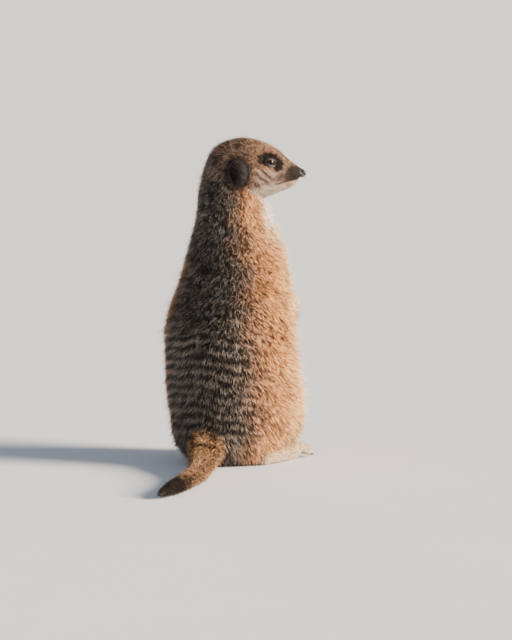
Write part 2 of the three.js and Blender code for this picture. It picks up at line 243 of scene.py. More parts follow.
def swollen(node, by):
    """A node's solid as a bmesh, with its vertices moved `by` mm outwards."""
    work = bmesh.new()
    work.from_mesh(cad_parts[node].data)
    bmesh.ops.remove_doubles(work, verts=work.verts, dist=1e-6)
    bmesh.ops.recalc_face_normals(work, faces=work.faces)
    work.normal_update()
    for vertex in work.verts:
        vertex.co += vertex.normal * by * MM
    return work


def made_mesh(work, name):
    """A new mesh from a bmesh, which is let go."""
    mesh = bpy.data.meshes.new(name)
    work.to_mesh(mesh)
    work.free()
    return mesh


def add_object(name, data):
    """A new object in the scene."""
    made = bpy.data.objects.new(name, data)
    bpy.context.scene.collection.objects.link(made)
    return made


# --- The skin -------------------------------------------------------------------------------------------

FLESH = [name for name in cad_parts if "claw" not in name]
SWELL = 0.3  # how far each node swells, so that the pieces meet across their cuts
VOXEL = 0.8
THIN_OUT = 0.3  # share of the faces left once the trunk, limbs and tail are thinned
HEAD_FROM = 207.0  # the height above which the head isn't thinned
FACE_FINE_FROM = 12.0  # the face in front of this place along the head has its edges halved
THROAT = -26.0  # but not below this height on the head
SKIN_CLEAR = 0.3  # the skin's least height over the floor


def joined_flesh():
    """The flesh nodes, swollen and put in one mesh, and the region of each of its faces."""
    joined = bmesh.new()
    regions = []
    for name in FLESH:
        copy = made_mesh(swollen(name, SWELL), name)
        joined.from_mesh(copy)
        bpy.data.meshes.remove(copy)
        regions += [region_of(name)] * (len(joined.faces) - len(regions))
    return made_mesh(joined, "flesh"), np.array(regions)


def with_modifiers(mesh, prepare):
    """A copy of the mesh with the modifiers that `prepare` adds to its object applied."""
    holder = add_object("holder", mesh)
    prepare(holder)
    graph = bpy.context.evaluated_depsgraph_get()
    made = bpy.data.meshes.new_from_object(holder.evaluated_get(graph))
    bpy.data.objects.remove(holder)
    return made


def merge(holder):
    """Melts the joined nodes into one closed surface."""
    modifier = holder.modifiers.new("merge", "REMESH")
    modifier.mode = "VOXEL"
    modifier.voxel_size = VOXEL * MM


def thin(holder):
    """Thins the faces, except on the head and the paws."""
    points = np.empty(len(holder.data.vertices) * 3)
    holder.data.vertices.foreach_get("co", points)
    x, y, z = points.reshape(-1, 3).T / MM
    head = z > HEAD_FROM
    hind_paw = (z < 20) & (y < -14) & (abs(x) > 25)
    fore_paw = (y < -45) & (z > 98) & (z < 134)
    fine = holder.vertex_groups.new(name="fine")
    fine.add(np.nonzero(head | hind_paw | fore_paw)[0].tolist(), 1.0, "REPLACE")
    modifier = holder.modifiers.new("thin", "DECIMATE")
    modifier.ratio = THIN_OUT
    modifier.vertex_group = fine.name
    modifier.invert_vertex_group = True


def refine_face(mesh):
    """Halves the edges of the face and makes every face a triangle."""
    work = bmesh.new()
    work.from_mesh(mesh)
    edges = []
    for edge in work.edges:
        along, _, up = to_head(np.array((edge.verts[0].co + edge.verts[1].co) / 2) / MM)
        if along > FACE_FINE_FROM and up > THROAT:
            edges.append(edge)
    bmesh.ops.subdivide_edges(work, edges=edges, cuts=1, use_grid_fill=True)
    bmesh.ops.triangulate(work, faces=work.faces)
    work.to_mesh(mesh)
    work.free()


def nearest_region(points, mesh, regions):
    """The region of the flesh node that is nearest to each point."""
    corners = [vertex.co / MM for vertex in mesh.vertices]
    tree = BVHTree.FromPolygons(corners, [face.vertices for face in mesh.polygons])
    return np.array([regions[tree.find_nearest(point)[2]] for point in points.tolist()])


PRESSED_DEPTH = 1.6  # the coat's depth under the animal, where it is sat on


def coat_depth(surface, region):
    """How deep the coat lies over the skin at each vertex, blended where regions meet."""
    along, _, _ = to_head(surface.points).T
    depth = np.where(in_regions(region, "head"), along_table(HEAD_DEPTH, along), of_regions(region, "depth"))
    underneath = step(-0.3, -0.8, surface.normals()[:, 2]) * step(14, 5, surface.points[:, 2])
    depth = depth + (np.minimum(depth, PRESSED_DEPTH) - depth) * underneath
    return surface.blurred(depth, 24)


# How hard each round of smoothing pulls, where it isn't PLAIN_SMOOTHING.
SMOOTHING = {"head": 0.3, "ear": 0.12, "forepaw": 0.1, "hindpaw": 0.1, "forearm": 0.3, "tail_tip": 0.3}
PLAIN_SMOOTHING = 0.5


def sink_under_coat(surface, region, depth):
    """Moves the surface in by the coat's depth and takes out the facets of the solids."""
    share = np.array([SMOOTHING.get(name, PLAIN_SMOOTHING) for name in REGIONS])[region]
    behind_nose = step(46, 34, to_head(surface.points)[:, 0])
    share = share * np.where(in_regions(region, "head"), behind_nose * 0.85 + 0.15, 1.0)
    share = surface.blurred(share, 6)[:, None]
    surface.points = surface.blurred(surface.points, 14, share)
    normals = unit(surface.blurred(surface.normals(), 6))
    surface.points = surface.points - normals * depth[:, None]
    surface.points = surface.blurred(surface.points, 10, share)
    surface.points[:, 2] = np.maximum(surface.points[:, 2], SKIN_CLEAR)


MOUTH = {22: -9.4, 27: -9.6, 33: -8.2, 38.5: -6.6, 44: -5.4, 48: -4.8}  # height by place along the head
MOUTH_GROOVE = -0.75
LIPS = [(0.45, 1.5, 1.2), (-0.35, -1.6, 1.1)]  # how far each stands out, and its middle and reach in height
# Each form of the head: how far it stands out, its middle and reach along and up the head, and between which
# distances from the head's middle plane it comes in.
HEAD_FORMS = {
    "whisker_pad": (0.7, (40, 4.5), (-2.0, 3.2), (2.0, 5.0)),
    "brow": (0.9, (21, 6.0), (16.5, 3.0), (6, 11)),
    "cheekbone": (0.8, (14, 7.0), (1.0, 3.5), (10, 15)),
    "dip_before_eye": (-0.7, (31, 3.2), (5.5, 3.2), (3, 6)),
    "chin": (0.8, (40.2, 3.0), (-9.4, 2.4), (-2, -1)),
    "dip_under_nose": (-0.8, (46.0, 2.0), (-6.8, 1.6), (-2, -1)),
}


def sculpt_head(surface, region):
    """Draws the mouth and the forms of the face into the skin."""
    along, out, up = to_head(surface.points).T
    out = abs(out)
    over_mouth = up - along_table(MOUTH, along)
    in_mouth = step(23, 28, along) * step(49.5, 47, along)
    move = MOUTH_GROOVE * bell(over_mouth, 0, 0.5) * in_mouth
    for rise, place, reach in LIPS:
        move += rise * bell(over_mouth, place, reach) * in_mouth
    for rise, length, height, aside in HEAD_FORMS.values():
        move += rise * bell(along, *length) * bell(up, *height) * step(*aside, out)
    move = move * in_regions(region, "head")
    surface.points = surface.points + surface.normals() * move[:, None]


# Where the skin lies round the nose pad, in the pad's radii: inside its front, and just off it behind.
COLLAR = {"front": 0.38, "behind": 1.06, "reach": 1.6}


def fit_nose_collar(surface, region):
    """Draws the muzzle's tip close round the nose pad, and in behind the pad's face."""
    local = nose_axes(surface.points) / NOSE["radii"]
    reach = np.linalg.norm(local, axis=1)
    near = in_regions(region, "head") & (reach < COLLAR["reach"])
    behind = step(0.25, -0.25, local[:, 0])
    wanted = COLLAR["front"] + (COLLAR["behind"] - COLLAR["front"]) * behind
    pull = step(COLLAR["reach"], 1.1, reach) * near * np.where(reach < wanted, 1.0, 1 - 0.75 * behind)
    scale = 1 + (wanted / np.maximum(reach, 0.2) - 1) * pull
    moved = from_nose_axes(local * NOSE["radii"] * scale[:, None])
    surface.points = np.where(near[:, None], moved, surface.points)


EAR = {"along": -4.3, "up": 0.5}  # its middle
EAR_HOLE = {"along": -6.6, "up": 0.7, "reach": (4.7, 9.8), "depth": 4.2, "lean": 0.12}
EAR_RIM = {"back": 1.1, "front": 0.5}  # how far it stands out
EAR_FOLD = 1.9


def in_ear(along, up):
    """How far across and up from the middle of an ear's hollow, in its own half sizes."""
    rise = up - EAR_HOLE["up"]
    ahead = along - EAR_HOLE["along"] + EAR_HOLE["lean"] * rise
    return ahead / EAR_HOLE["reach"][0], rise / EAR_HOLE["reach"][1]


def sculpt_ears(surface):
    """Opens each ear's hollow behind its front flap, with a rim round the back and two folds inside."""
    along, out, up = to_head(surface.points).T
    side = np.sign(out)
    near = step(17.0, 21.0, abs(out)) * step(16, 13, np.hypot(along - EAR["along"], up - EAR["up"]))
    across, height = in_ear(along, up)
    reach = np.hypot(across, height) + 0.12 * noise(surface.points, 3.0)
    move = -EAR_HOLE["depth"] * step(1.05, 0.6, reach)
    move += EAR_RIM["back"] * bell(reach, 1.32, 0.22) * step(0.6, -0.4, across)
    move += EAR_RIM["front"] * bell(reach, 1.3, 0.22) * step(-0.2, 0.8, across)
    slant = up + 0.7 * (along - EAR_HOLE["along"])
    folds = bell(slant, 5.2, 0.9) + bell(slant, 1.6, 0.8)
    move += EAR_FOLD * folds * step(1.0, 0.7, reach) * step(0.9, -0.1, across)
    facing = step(-0.1, 0.4, (surface.normals() @ LEFT) * side)
    surface.points = surface.points + np.outer(side * move * near * facing, LEFT)
    surface.points = surface.blurred(surface.points, 2, 0.3 * near[:, None])
    front = step(0, 6, along) * step(14, 17, abs(out)) * step(22, 16, along) * step(18, 14, abs(up))
    surface.points = surface.blurred(surface.points, 14, 0.5 * front[:, None])


def make_skin():
    """The skin's surface, with each vertex's region and coat depth."""
    flesh, face_regions = joined_flesh()
    mesh = with_modifiers(with_modifiers(flesh, merge), thin)
    refine_face(mesh)
    surface = Surface(*read_mesh(mesh))
    region = nearest_region(surface.points, flesh, face_regions)
    depth = coat_depth(surface, region)
    sink_under_coat(surface, region, depth)
    sculpt_head(surface, region)
    sculpt_ears(surface)
    fit_nose_collar(surface, region)
    return surface, region, depth


# --- Eyes and lids --------------------------------------------------------------------------------------

EYE_FACING = math.radians(33)  # how far the lids' opening is turned forward of sideways
LID = {"front": 5.1, "rear": 4.8, "top": 2.15, "bottom": 2.0, "tilt": math.radians(-9)}
LID_CUT = 8.8  # the skin within this of the eye's axis is replaced by the lids
LID_OUTER = 8.1
LID_RINGS, LID_SPOKES = 22, 96
LID_TURN = np.arange(LID_SPOKES) * 2 * math.pi / LID_SPOKES
LID_LIFT = 0.45  # the lid's edge over the eyeball
LID_RIM = [(0.14, 0.24), (0.16, -0.1), (0.1, -0.4)]  # the edge turned in: inset, and height over the eyeball
RAY_FROM = 14.0  # from where, off the eye's middle, rays look for the skin


class Eye:
    """An eye's place and axes: outward, forward along the lids, and up."""

    def __init__(self, side):
        low, high = (np.array(corner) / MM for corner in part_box(f"eye_{side}"))
        self.side = side
        self.middle = (low + high) / 2
        self.radius = (high - low).max() / 2
        sideways = LEFT * SIDES[side]
        self.out = math.cos(EYE_FACING) * sideways + math.sin(EYE_FACING) * FORWARD
        self.forward = math.cos(EYE_FACING) * FORWARD - math.sin(EYE_FACING) * sideways

    def place(self, forward, up, out):
        """A point given by its distances along the eye's axes from its middle."""
        return (
            self.middle
            + np.multiply.outer(forward, self.forward)
            + np.multiply.outer(up, UP)
            + np.multiply.outer(out, self.out)
        )

    def seen(self, points):
        """A point's distances along the eye's axes from its middle."""
        return (points - self.middle) @ np.array([self.forward, UP, self.out]).T


EYES = [Eye(side) for side in SIDES]


def lid_edge(turn):
    """The almond between the lids, as distances forward and up from the eye's axis."""
    across = np.cos(turn) * np.where(np.cos(turn) > 0, LID["front"], LID["rear"])
    height = np.where(np.sin(turn) > 0, LID["top"], LID["bottom"])
    over = np.sign(np.sin(turn)) * abs(np.sin(turn)) ** 1.25 * height
    c, s = math.cos(LID["tilt"]), math.sin(LID["tilt"])
    return across * c - over * s, across * s + over * c


def boundary_loop(faces):
    """The vertices round the hole in a mesh, in order."""
    known = {tuple(side) for side in sides_of(faces).tolist()}
    after = {b: a for a, b in known if (b, a) not in known}
    loop = [next(iter(after))]
    while after[loop[-1]] != loop[0]:
        loop.append(after[loop[-1]])
    return loop


def open_hole(points, faces, near):
    """The faces without the vertices that `near` marks, or any that would leave the hole's edge pinched."""
    gone = near.copy()
    while True:
        kept = faces[~gone[faces].any(axis=1)]
        sides = np.sort(sides_of(kept), axis=1)
        single, count = np.unique(sides, axis=0, return_counts=True)
        uses = np.bincount(single[count == 1].ravel(), minlength=len(points))
        if not (uses > 2).any():
            return kept
        gone |= uses > 2


def zip_rings(outer, outer_turn, inner, inner_turn):
    """Triangles between two closed rings that run the same way, given their vertices' growing turns."""
    i = j = 0
    triangles = []
    n, m = len(outer), len(inner)
    outer_turn = np.append(outer_turn, outer_turn[0] + 2 * math.pi)
    inner_turn = np.append(inner_turn, inner_turn[0] + 2 * math.pi)
    while i < n or j < m:
        if j == m or (i < n and outer_turn[i + 1] <= inner_turn[j + 1]):
            triangles.append((outer[i % n], outer[(i + 1) % n], inner[j % m]))
            i += 1
        else:
            triangles.append((outer[i % n], inner[(j + 1) % m], inner[j % m]))
            j += 1
    return np.array(triangles)


def ring_faces(rings, spokes, first=0):
    """Triangles of a grid of closed rings."""
    r, s = np.meshgrid(np.arange(rings - 1), np.arange(spokes), indexing="ij")
    a = (first + r * spokes + s).ravel()
    b = (first + r * spokes + (s + 1) % spokes).ravel()
    return np.vstack([np.stack([a, b, a + spokes], 1), np.stack([b, b + spokes, a + spokes], 1)])


def lid_grid(eye, tree):
    """The lids' vertices, ring by ring from the face inwards, and their distances from the lids' edge."""
    edge_forward, edge_up = lid_edge(LID_TURN)
    share = (1 - (1 - np.linspace(0, 1, LID_RINGS)) ** 1.25)[:, None]
    forward = LID_OUTER * np.cos(LID_TURN) * (1 - share) + edge_forward * share
    up = LID_OUTER * np.sin(LID_TURN) * (1 - share) + edge_up * share
    from_edge = np.hypot(forward - edge_forward, up - edge_up)
    reach = np.hypot(forward, up)

    starts = eye.place(forward.ravel(), up.ravel(), np.full(forward.size, RAY_FROM))
    hits = [tree.ray_cast(start, (-eye.out).tolist())[3] for start in starts.tolist()]
    on_skin = RAY_FROM - np.array(hits, float).reshape(forward.shape)

    lid_radius = eye.radius + LID_LIFT + 0.35 * step(0, 0.9, from_edge)
    near_ball = np.minimum(reach, 0.93 * lid_radius)
    on_ball = np.sqrt(lid_radius**2 - near_ball**2) - 1.6 * (reach - near_ball)
    height = on_skin + (on_ball - on_skin) * step(4.0, 1.0, from_edge)
    over = step(0.1, 0.6, np.sin(LID_TURN))
    under = step(-0.1, -0.6, np.sin(LID_TURN))
    height = height + (0.35 * bell(from_edge, 3.0, 0.7) - 0.5 * bell(from_edge, 2.0, 0.42)) * over
    height = height + (0.15 * bell(from_edge, 2.6, 0.6) - 0.3 * bell(from_edge, 1.7, 0.45)) * under
    duct = bell(up - edge_up[0] + 0.25 * (forward - edge_forward[0]), 0, 0.5)
    height = height - 0.6 * duct * step(4.6, 5.4, forward) * step(8.0, 6.4, forward)

    for inset, rise in LID_RIM:
        shrink = 1 - inset / np.hypot(edge_forward, edge_up)
        rim_forward, rim_up = edge_forward * shrink, edge_up * shrink
        rim_out = np.sqrt(np.maximum((eye.radius + rise) ** 2 - rim_forward**2 - rim_up**2, 1.0))
        forward, up = np.vstack([forward, rim_forward]), np.vstack([up, rim_up])
        height = np.vstack([height, rim_out])
        from_edge = np.vstack([from_edge, np.zeros(LID_SPOKES)])
    return eye.place(forward.ravel(), up.ravel(), height.ravel()), from_edge


def set_in_lids(surface, region, depth, lid):
    """Cuts the skin round each eye and stitches the lids in, so that the skin stays one surface."""
    tree = surface.tree()
    points, faces = surface.points, surface.faces
    for eye in EYES:
        forward, up, out = eye.seen(points).T
        near = (np.hypot(forward, up) < LID_CUT) & (out > 0) & (out < RAY_FROM - 2)
        faces = open_hole(points, faces, near)
        loop = boundary_loop(faces)
        turn = np.unwrap(np.arctan2(up[loop], forward[loop]))
        if turn[-1] < turn[0]:
            loop, turn = loop[::-1], turn[::-1]
        first = int(np.argmin(abs((turn + math.pi) % (2 * math.pi) - math.pi)))
        turn = np.append(turn[first:], turn[:first] + 2 * math.pi)
        turn = turn - 2 * math.pi * round(turn[0] / (2 * math.pi))
        loop = loop[first:] + loop[:first]

        grid, from_edge = lid_grid(eye, tree)
        base = len(points)
        inner = list(range(base, base + LID_SPOKES))
        points = np.vstack([points, grid])
        added = np.vstack([
            zip_rings(loop, turn, inner, LID_TURN),
            ring_faces(len(from_edge), LID_SPOKES, base),
        ])
        a, b, c = corners_of(points, added)
        flip = np.cross(b - a, c - a) @ eye.out < 0
        added[flip] = added[flip][:, ::-1]
        faces = np.vstack([faces, added])
        region = np.append(region, np.full(len(grid), REGIONS.index("head")))
        depth = np.append(depth, 0.35 + 0.9 * step(1.0, 5.0, from_edge.ravel()))
        lid = np.append(lid, from_edge.ravel())
    used = np.unique(faces)
    renumber = np.zeros(len(points), int)
    renumber[used] = np.arange(len(used))
    return Surface(points[used], renumber[faces]), region[used], depth[used], lid[used]


AWAY = 99.0  # stands for no lid near

skin, skin_region, skin_depth = make_skin()
skin, skin_region, skin_depth, skin_lid = set_in_lids(
    skin, skin_region, skin_depth, np.full(len(skin.points), AWAY)
)
print("skin", len(skin.points), len(skin.faces))


# --- Lie of the coat ------------------------------------------------------------------------------------

# Where each limb's hair runs from and to, on the animal's left; the right is its mirror image.
LIMB_RUNS = {
    "upper_arm": [(20, -12, 178), (36, -8, 119)],
    "forearm": [(36, -6, 122), (23, -52, 129)],
    "forepaw": [(22.5, -50, 130), (20.5, -53, 100)],
    "thigh": [(24, 30, 60), (34, -30, 20)],
    "shank": [(34, -30, 44), (35, 6, 12)],
    "hindpaw": [(34, 22, 9), (38, -45, 6)],
}
TAIL_RUN = [(4, 22), (-3, 50), (-19, 84), (-35, 117), (-47, 150), (-54, 183), (-57, 216)]  # on the floor


def tail_share(points):
    """How far along the tail each point lies, from 0 to 1, and the way to its tip there."""
    run = np.array(TAIL_RUN, float)
    shares = np.linspace(0, 1, len(run))
    share = np.interp(points[:, 1], run[:, 1], shares)
    before, after = (
        np.stack([np.interp(share + d, shares, run[:, k]) for k in (0, 1)], axis=1) for d in (-0.08, 0.08)
    )
    way = np.column_stack([after - before, np.zeros(len(points))])
    return share, unit(way)


def lie_of_coat(surface, region):
    """The way that the hair lies at each vertex, along the surface."""
    points, normals = surface.points, surface.normals()
    way = np.tile(-UP, (len(points), 1))
    along, out, up = to_head(points).T
    flank = step(150, 60, points[:, 2]) * step(-0.1, 0.6, abs(normals[:, 0]))
    way[:, 1] -= 0.5 * flank

    from_nose = points - from_head(NOSE_TIP)
    head_way = unit(from_nose) - UP * (0.25 + 1.3 * step(4, -22, along))[:, None]
    head_way -= UP * (0.5 * step(8, 20, abs(out)) * step(-2, -14, up))[:, None]
    sets = {"head": head_way, "ear": UP * 0.8 - FORWARD * 0.7 + np.zeros(points.shape)}
    for name, (start, end) in LIMB_RUNS.items():
        run = np.subtract(end, start).astype(float)
        sets[name] = unit(np.stack([run[0] * np.sign(points[:, 0]), *np.tile(run[1:, None], len(points))], 1))
    for name in ("tail_root", "tail_middle", "tail_end", "tail_tip"):
        sets[name] = tail_share(points)[1]
    for name, chosen in sets.items():
        here = in_regions(region, name)
        way[here] = unit(chosen[here])
    for _ in range(3):
        way = surface.blurred(way, 12)
        way = unit(way - normals * (way * normals).sum(axis=1, keepdims=True))
    return way


# --- Markings -------------------------------------------------------------------------------------------

TRUNK_MIDDLE = (0.0, 8.0)  # the trunk's axis in plan


class Tones:
    """The coat's two hair colours, and the share of hairs that are pale, at each place."""

    def __init__(self, count, dark, pale, share):
        self.dark = np.tile(rgb(*dark), (count, 1))
        self.pale = np.tile(rgb(*pale), (count, 1))
        self.share = np.full(count, float(share))
        self.mask = np.ones(count)

    def paint(self, weight, dark, pale, share):
        """Lays other colours over these, as thickly as `weight`, where the mask allows it."""
        weight = weight * self.mask
        self.dark += (rgb(*dark) - self.dark) * weight[:, None]
        self.pale += (rgb(*pale) - self.pale) * weight[:, None]
        self.share += (share - self.share) * weight


def off_back(points):
    """The turn round the trunk from the middle of the back, in degrees from 0 to 180."""
    return abs(np.degrees(np.arctan2(points[:, 0] - TRUNK_MIDDLE[0], points[:, 1] - TRUNK_MIDDLE[1])))


def oval(first, second, middle, reach, turn=0.0, edge=0.25):
    """1 inside an oval in two coordinates and 0 outside, with a soft edge."""
    c, s = math.cos(math.radians(turn)), math.sin(math.radians(turn))
    a, b = first - middle[0], second - middle[1]
    radius = np.hypot((a * c + b * s) / reach[0], (b * c - a * s) / reach[1])
    return step(1 + edge, 1 - edge, radius)


def body_tones(points, tones):
    """The back, flank, chest and belly. The grey back and upper back are partly painted shade, and the orange
    flank and front partly painted warm sunlight.
    """
    turn = off_back(points) + 9 * noise(points, 16)
    z = points[:, 2]
    flank = step(30, 80, turn)
    # Partly painted warm sunlight: the flank's orange is stronger than its own tan.
    tones.paint(flank, (76, 47, 31), (240, 164, 104), 0.6)
    front = step(78, 125, turn)
    # Partly painted warm sunlight, as on the flank.
    tones.paint(front, (148, 94, 58), (250, 192, 136), 0.76)
    belly = step(125, 152, turn) * step(222, 176, z)
    tones.paint(belly, (176, 140, 108), (240, 218, 188), 0.85)
    # Painted shade over the real darker grizzle: the upper back is darkened to a cool grey.
    upper_back_and_shade = step(130, 170, z) * step(85, 40, turn)
    tones.paint(upper_back_and_shade * 0.8, (23, 22, 24), (130, 123, 116), 0.37)


def head_tones(points, tones):
    """The crown, face, eye patches, muzzle, cheeks, throat and the dark round the ears."""
    along, out, up = to_head(points).T
    side = abs(out)
    wave = noise(points, 5.0)
    fine = noise(points, 1.8, 7.0)
    tones.paint(np.ones(len(points)), (27, 24, 24), (226, 180, 150), 0.44)
    front = step(2, 17, along + 2 * wave)
    tones.paint(front * 0.85, (70, 46, 37), (236, 184, 152), 0.6)
    # Partly painted sunlight: the forehead is paler and pinker towards its top, over its own pale tan.
    forehead_and_sunlight = step(10, 22, along) * step(8, 15, up + wave)
    tones.paint(forehead_and_sunlight * 0.8, (108, 74, 60), (248, 200, 172), 0.66)
    cheek = step(6, 15, along + wave * 2) * step(8, 2, up + 0.12 * along) * step(38, 30, along)
    tones.paint(cheek * 0.9, (128, 92, 74), (252, 224, 202), 0.74)
    # Painted shade: dark streaks beside the cheek's pale ridges of fur.
    streak = step(0.1, 0.8, np.sin((up * 0.75 + along * 0.62 + wave * 1.2) * 1.25))
    tones.paint(streak * cheek * step(28, 20, along) * 0.9, (52, 36, 30), (140, 108, 88), 0.25)
    throat = step(-9.5, -13.5, up - 0.10 * along + wave) * step(-6, 6, along)
    tones.paint(throat, (206, 184, 160), (246, 236, 220), 0.85)
    # Partly painted sunlight: the muzzle's top is paler, over its own tan.
    bridge_and_light = step(27, 33, along) * step(1.0, 4.0, up + 0.25 * (along - 30))
    tones.paint(bridge_and_light, (96, 72, 60), (206, 172, 150), 0.6)
    ticked = oval(along, up, (34.0, -3.4), (7.5, 4.4), 10, 0.5) * step(1, 3, side)
    tones.paint(ticked * 0.85, (46, 39, 37), (168, 146, 130), 0.38)
    # The muzzle's side: its own dark fur, darkened further with painted shade.
    smoky_and_shade = oval(along, up, (42.4, -1.8), (6.2, 6.8), -6, 0.7) * step(0.5, 3, side)
    tones.paint(step(0.1, 0.95, smoky_and_shade + 0.32 * fine), (17, 14, 14), (62, 54, 52), 0.28)
    lip = bell(up - along_table(MOUTH, along), 0.1, 0.75) * step(24, 29, along)
    tones.paint(lip * 0.9, (30, 23, 22), (60, 48, 44), 0.3)
    chin = step(-0.6, -1.8, up - along_table(MOUTH, along)) * step(24, 30, along)
    tones.paint(chin, (196, 168, 142), (240, 224, 202), 0.8)
    from_nose = np.linalg.norm(points - from_head(NOSE["middle"]), axis=1)
    tones.paint(step(6.6, 5.2, from_nose) * step(-6.5, -4.5, up), (18, 14, 14), (48, 40, 38), 0.3)
    round_eye = oval(along, up, (21.4, 9.8), (9.8, 5.3), -8, 0.3)
    before_eye = oval(along, up, (28.6, 5.6), (5.4, 4.9), -32, 0.3)
    patch = np.maximum(round_eye, before_eye) * step(3.5, 6.0, side)
    patch = step(0.08, 0.92, patch + 0.42 * fine + 0.1 * wave)
    tones.paint(patch, (14, 11, 11), (54, 47, 47), 0.28)
    round_ear = oval(along, up, (-3.6, 1.2), (9.4, 12.2), 0, 0.3) * step(17, 21, side)
    tones.paint(round_ear * 0.9, (34, 29, 29), (98, 88, 86), 0.3)
    nape = step(-8, -24, along)
    tones.paint(nape * 0.8, (28, 27, 29), (134, 126, 120), 0.4)


def neck_tones(points, tones):
    """The neck: grizzled behind and darkened there with painted shade, tan at the side with painted warm
    sunlight in its orange, and white in front, under the turned head.
    """
    along, out, up = to_head(points).T
    turn = abs(np.degrees(np.arctan2(out, along + 4)) + 10 * noise(points, 10) + 8 * noise(points, 4, 2.0))
    high = step(150, 185, points[:, 2])
    # Painted shade over the real grizzle behind.
    tones.paint(step(70, 86, turn) * high * 0.8, (26, 25, 27), (142, 132, 123), 0.42)
    # Partly painted warm sunlight: the side's orange.
    tones.paint(step(110, 58, turn) * high, (108, 66, 42), (240, 174, 118), 0.64)
    tones.paint(step(56, 34, turn) * step(172, 204, points[:, 2]), (196, 166, 136), (248, 236, 218), 0.85)


def tail_tones(points, tones):
    """The tail, tan over grizzled, with a dark tip."""
    share, _ = tail_share(points)
    tones.paint(step(0.0, 0.12, share), (50, 39, 33), (204, 162, 124), 0.55)
    tip = step(0.7, 0.8, share + 0.02 * noise(points, 4))
    tones.paint(tip, (18, 15, 15), (46, 38, 34), 0.3)


PLAIN_TONES = {  # region: how thickly, dark hair, pale hair, share of pale hairs
    "ear": (1.0, (22, 18, 19), (74, 68, 70), 0.25),
    "upper_arm": (0.6, (122, 88, 62), (220, 182, 142), 0.7),
    "forearm": (0.8, (128, 94, 68), (224, 188, 150), 0.72),
    "forepaw": (1.0, (160, 128, 100), (234, 210, 180), 0.75),
    "hindpaw": (1.0, (160, 128, 100), (232, 208, 178), 0.75),
    "shank": (0.7, (140, 104, 76), (226, 190, 152), 0.72),
}


def markings(surface, region):
    """The two hair colours and the share of pale hairs at each vertex."""
    # The back's tones, which the other regions start from: its own dark grizzle, darkened further with
    # painted shade.
    tones = Tones(len(surface.points), (23, 22, 24), (132, 123, 115), 0.43)
    body_tones(surface.points, tones)
    painters = {
        "neck": neck_tones,
        "chest": neck_tones,
        "head": head_tones,
        "tail_root": tail_tones,
        "tail_middle": tail_tones,
        "tail_end": tail_tones,
        "tail_tip": tail_tones,
    }
    for name in REGIONS:
        tones.mask = surface.blurred(in_regions(region, name).astype(float), 10)
        if name in painters:
            painters[name](surface.points, tones)
        if name in PLAIN_TONES:
            weight, *colours = PLAIN_TONES[name]
            tones.paint(np.full(len(surface.points), weight), *colours)
    return tones


BAND_GAP = 8.2
BAND_SHARP = 1.6


def banding(points):
    """The wavy bands over the lower back: from -1 in a dark one to 1 in a pale one, fading off the back."""
    turn = off_back(points)
    z = points[:, 2]
    wander = 4.2 * noise(points * (1, 1, 0.4), 22) + 2.2 * noise(points, 8, 3.0)
    drop = 5.0 * (turn / 60) ** 2
    wave = np.sin((z + wander + drop) * 2 * math.pi / BAND_GAP)
    wave = np.tanh(BAND_SHARP * wave) / math.tanh(BAND_SHARP)
    height = step(12, 30, z) * (1 - 0.75 * step(100, 135, z)) * step(172, 150, z)
    strength = 0.75 + 0.4 * noise(points, 16, 6.0)
    return wave * height * strength * step(72, 38, turn + 8 * noise(points, 14))


# --- Materials ------------------------------------------------------------------------------------------

class Shader:
    """A material's nodes: one Principled shader and what feeds it."""

    def __init__(self, name, **settings):
        self.material = bpy.data.materials.new(name)
        self.material.use_nodes = True
        self.tree = self.material.node_tree
        self.surface = self.tree.nodes["Principled BSDF"]
        for socket, value in settings.items():
            self.surface.inputs[socket.replace("_", " ")].default_value = value

    def add(self, kind, **settings):
        """A new node with its properties, and its inputs by name."""
        node = self.tree.nodes.new(kind)
        for key, value in settings.items():
            if hasattr(node, key):
                setattr(node, key, value)
            else:
                node.inputs[key.replace("_", " ")].default_value = value
        return node

    def link(self, source, target):
        """Joins an output to an input."""
        self.tree.links.new(source, target)

    def feed(self, name, source):
        """Joins an output to one of the Principled shader's inputs."""
        self.link(source, self.surface.inputs[name])

    def grain(self, scale, detail=4.0, roughness=0.6, stretch=(1, 1, 1)):
        """Noise in the frame's own metres; `scale` is how many blobs there are in a metre."""
        place = self.add("ShaderNodeTexCoord")
        mapping = self.add("ShaderNodeMapping", Scale=stretch)
        grain = self.add("ShaderNodeTexNoise", Scale=scale, Detail=detail, Roughness=roughness)
        self.link(place.outputs["Object"], mapping.inputs["Vector"])
        self.link(mapping.outputs["Vector"], grain.inputs["Vector"])
        return grain.outputs["Fac"]

    def ranged(self, value, low, high):
        """A 0 to 1 value spread from `low` to `high`."""
        node = self.add("ShaderNodeMapRange", To_Min=low, To_Max=high)
        self.link(value, node.inputs["Value"])
        return node.outputs["Result"]

    def tinted(self, colour, value):
        """A colour made lighter and darker by a value near 1."""
        node = self.add("ShaderNodeMix", data_type="RGBA", blend_type="MULTIPLY")
        node.inputs["Factor"].default_value = 1.0
        grey = self.add("ShaderNodeCombineColor")
        for channel in ("Red", "Green", "Blue"):
            self.link(value, grey.inputs[channel])
        self.link(colour, node.inputs["A"])
        self.link(grey.outputs["Color"], node.inputs["B"])
        return node.outputs["Result"]

    def bump(self, value, distance, strength=1.0):
        """Raises the surface by a value; `distance` is in metres."""
        node = self.add("ShaderNodeBump", Distance=distance, Strength=strength)
        self.link(value, node.inputs["Height"])
        previous = self.surface.inputs["Normal"].links
        if previous:
            self.link(previous[0].from_socket, node.inputs["Normal"])
        self.feed("Normal", node.outputs["Normal"])


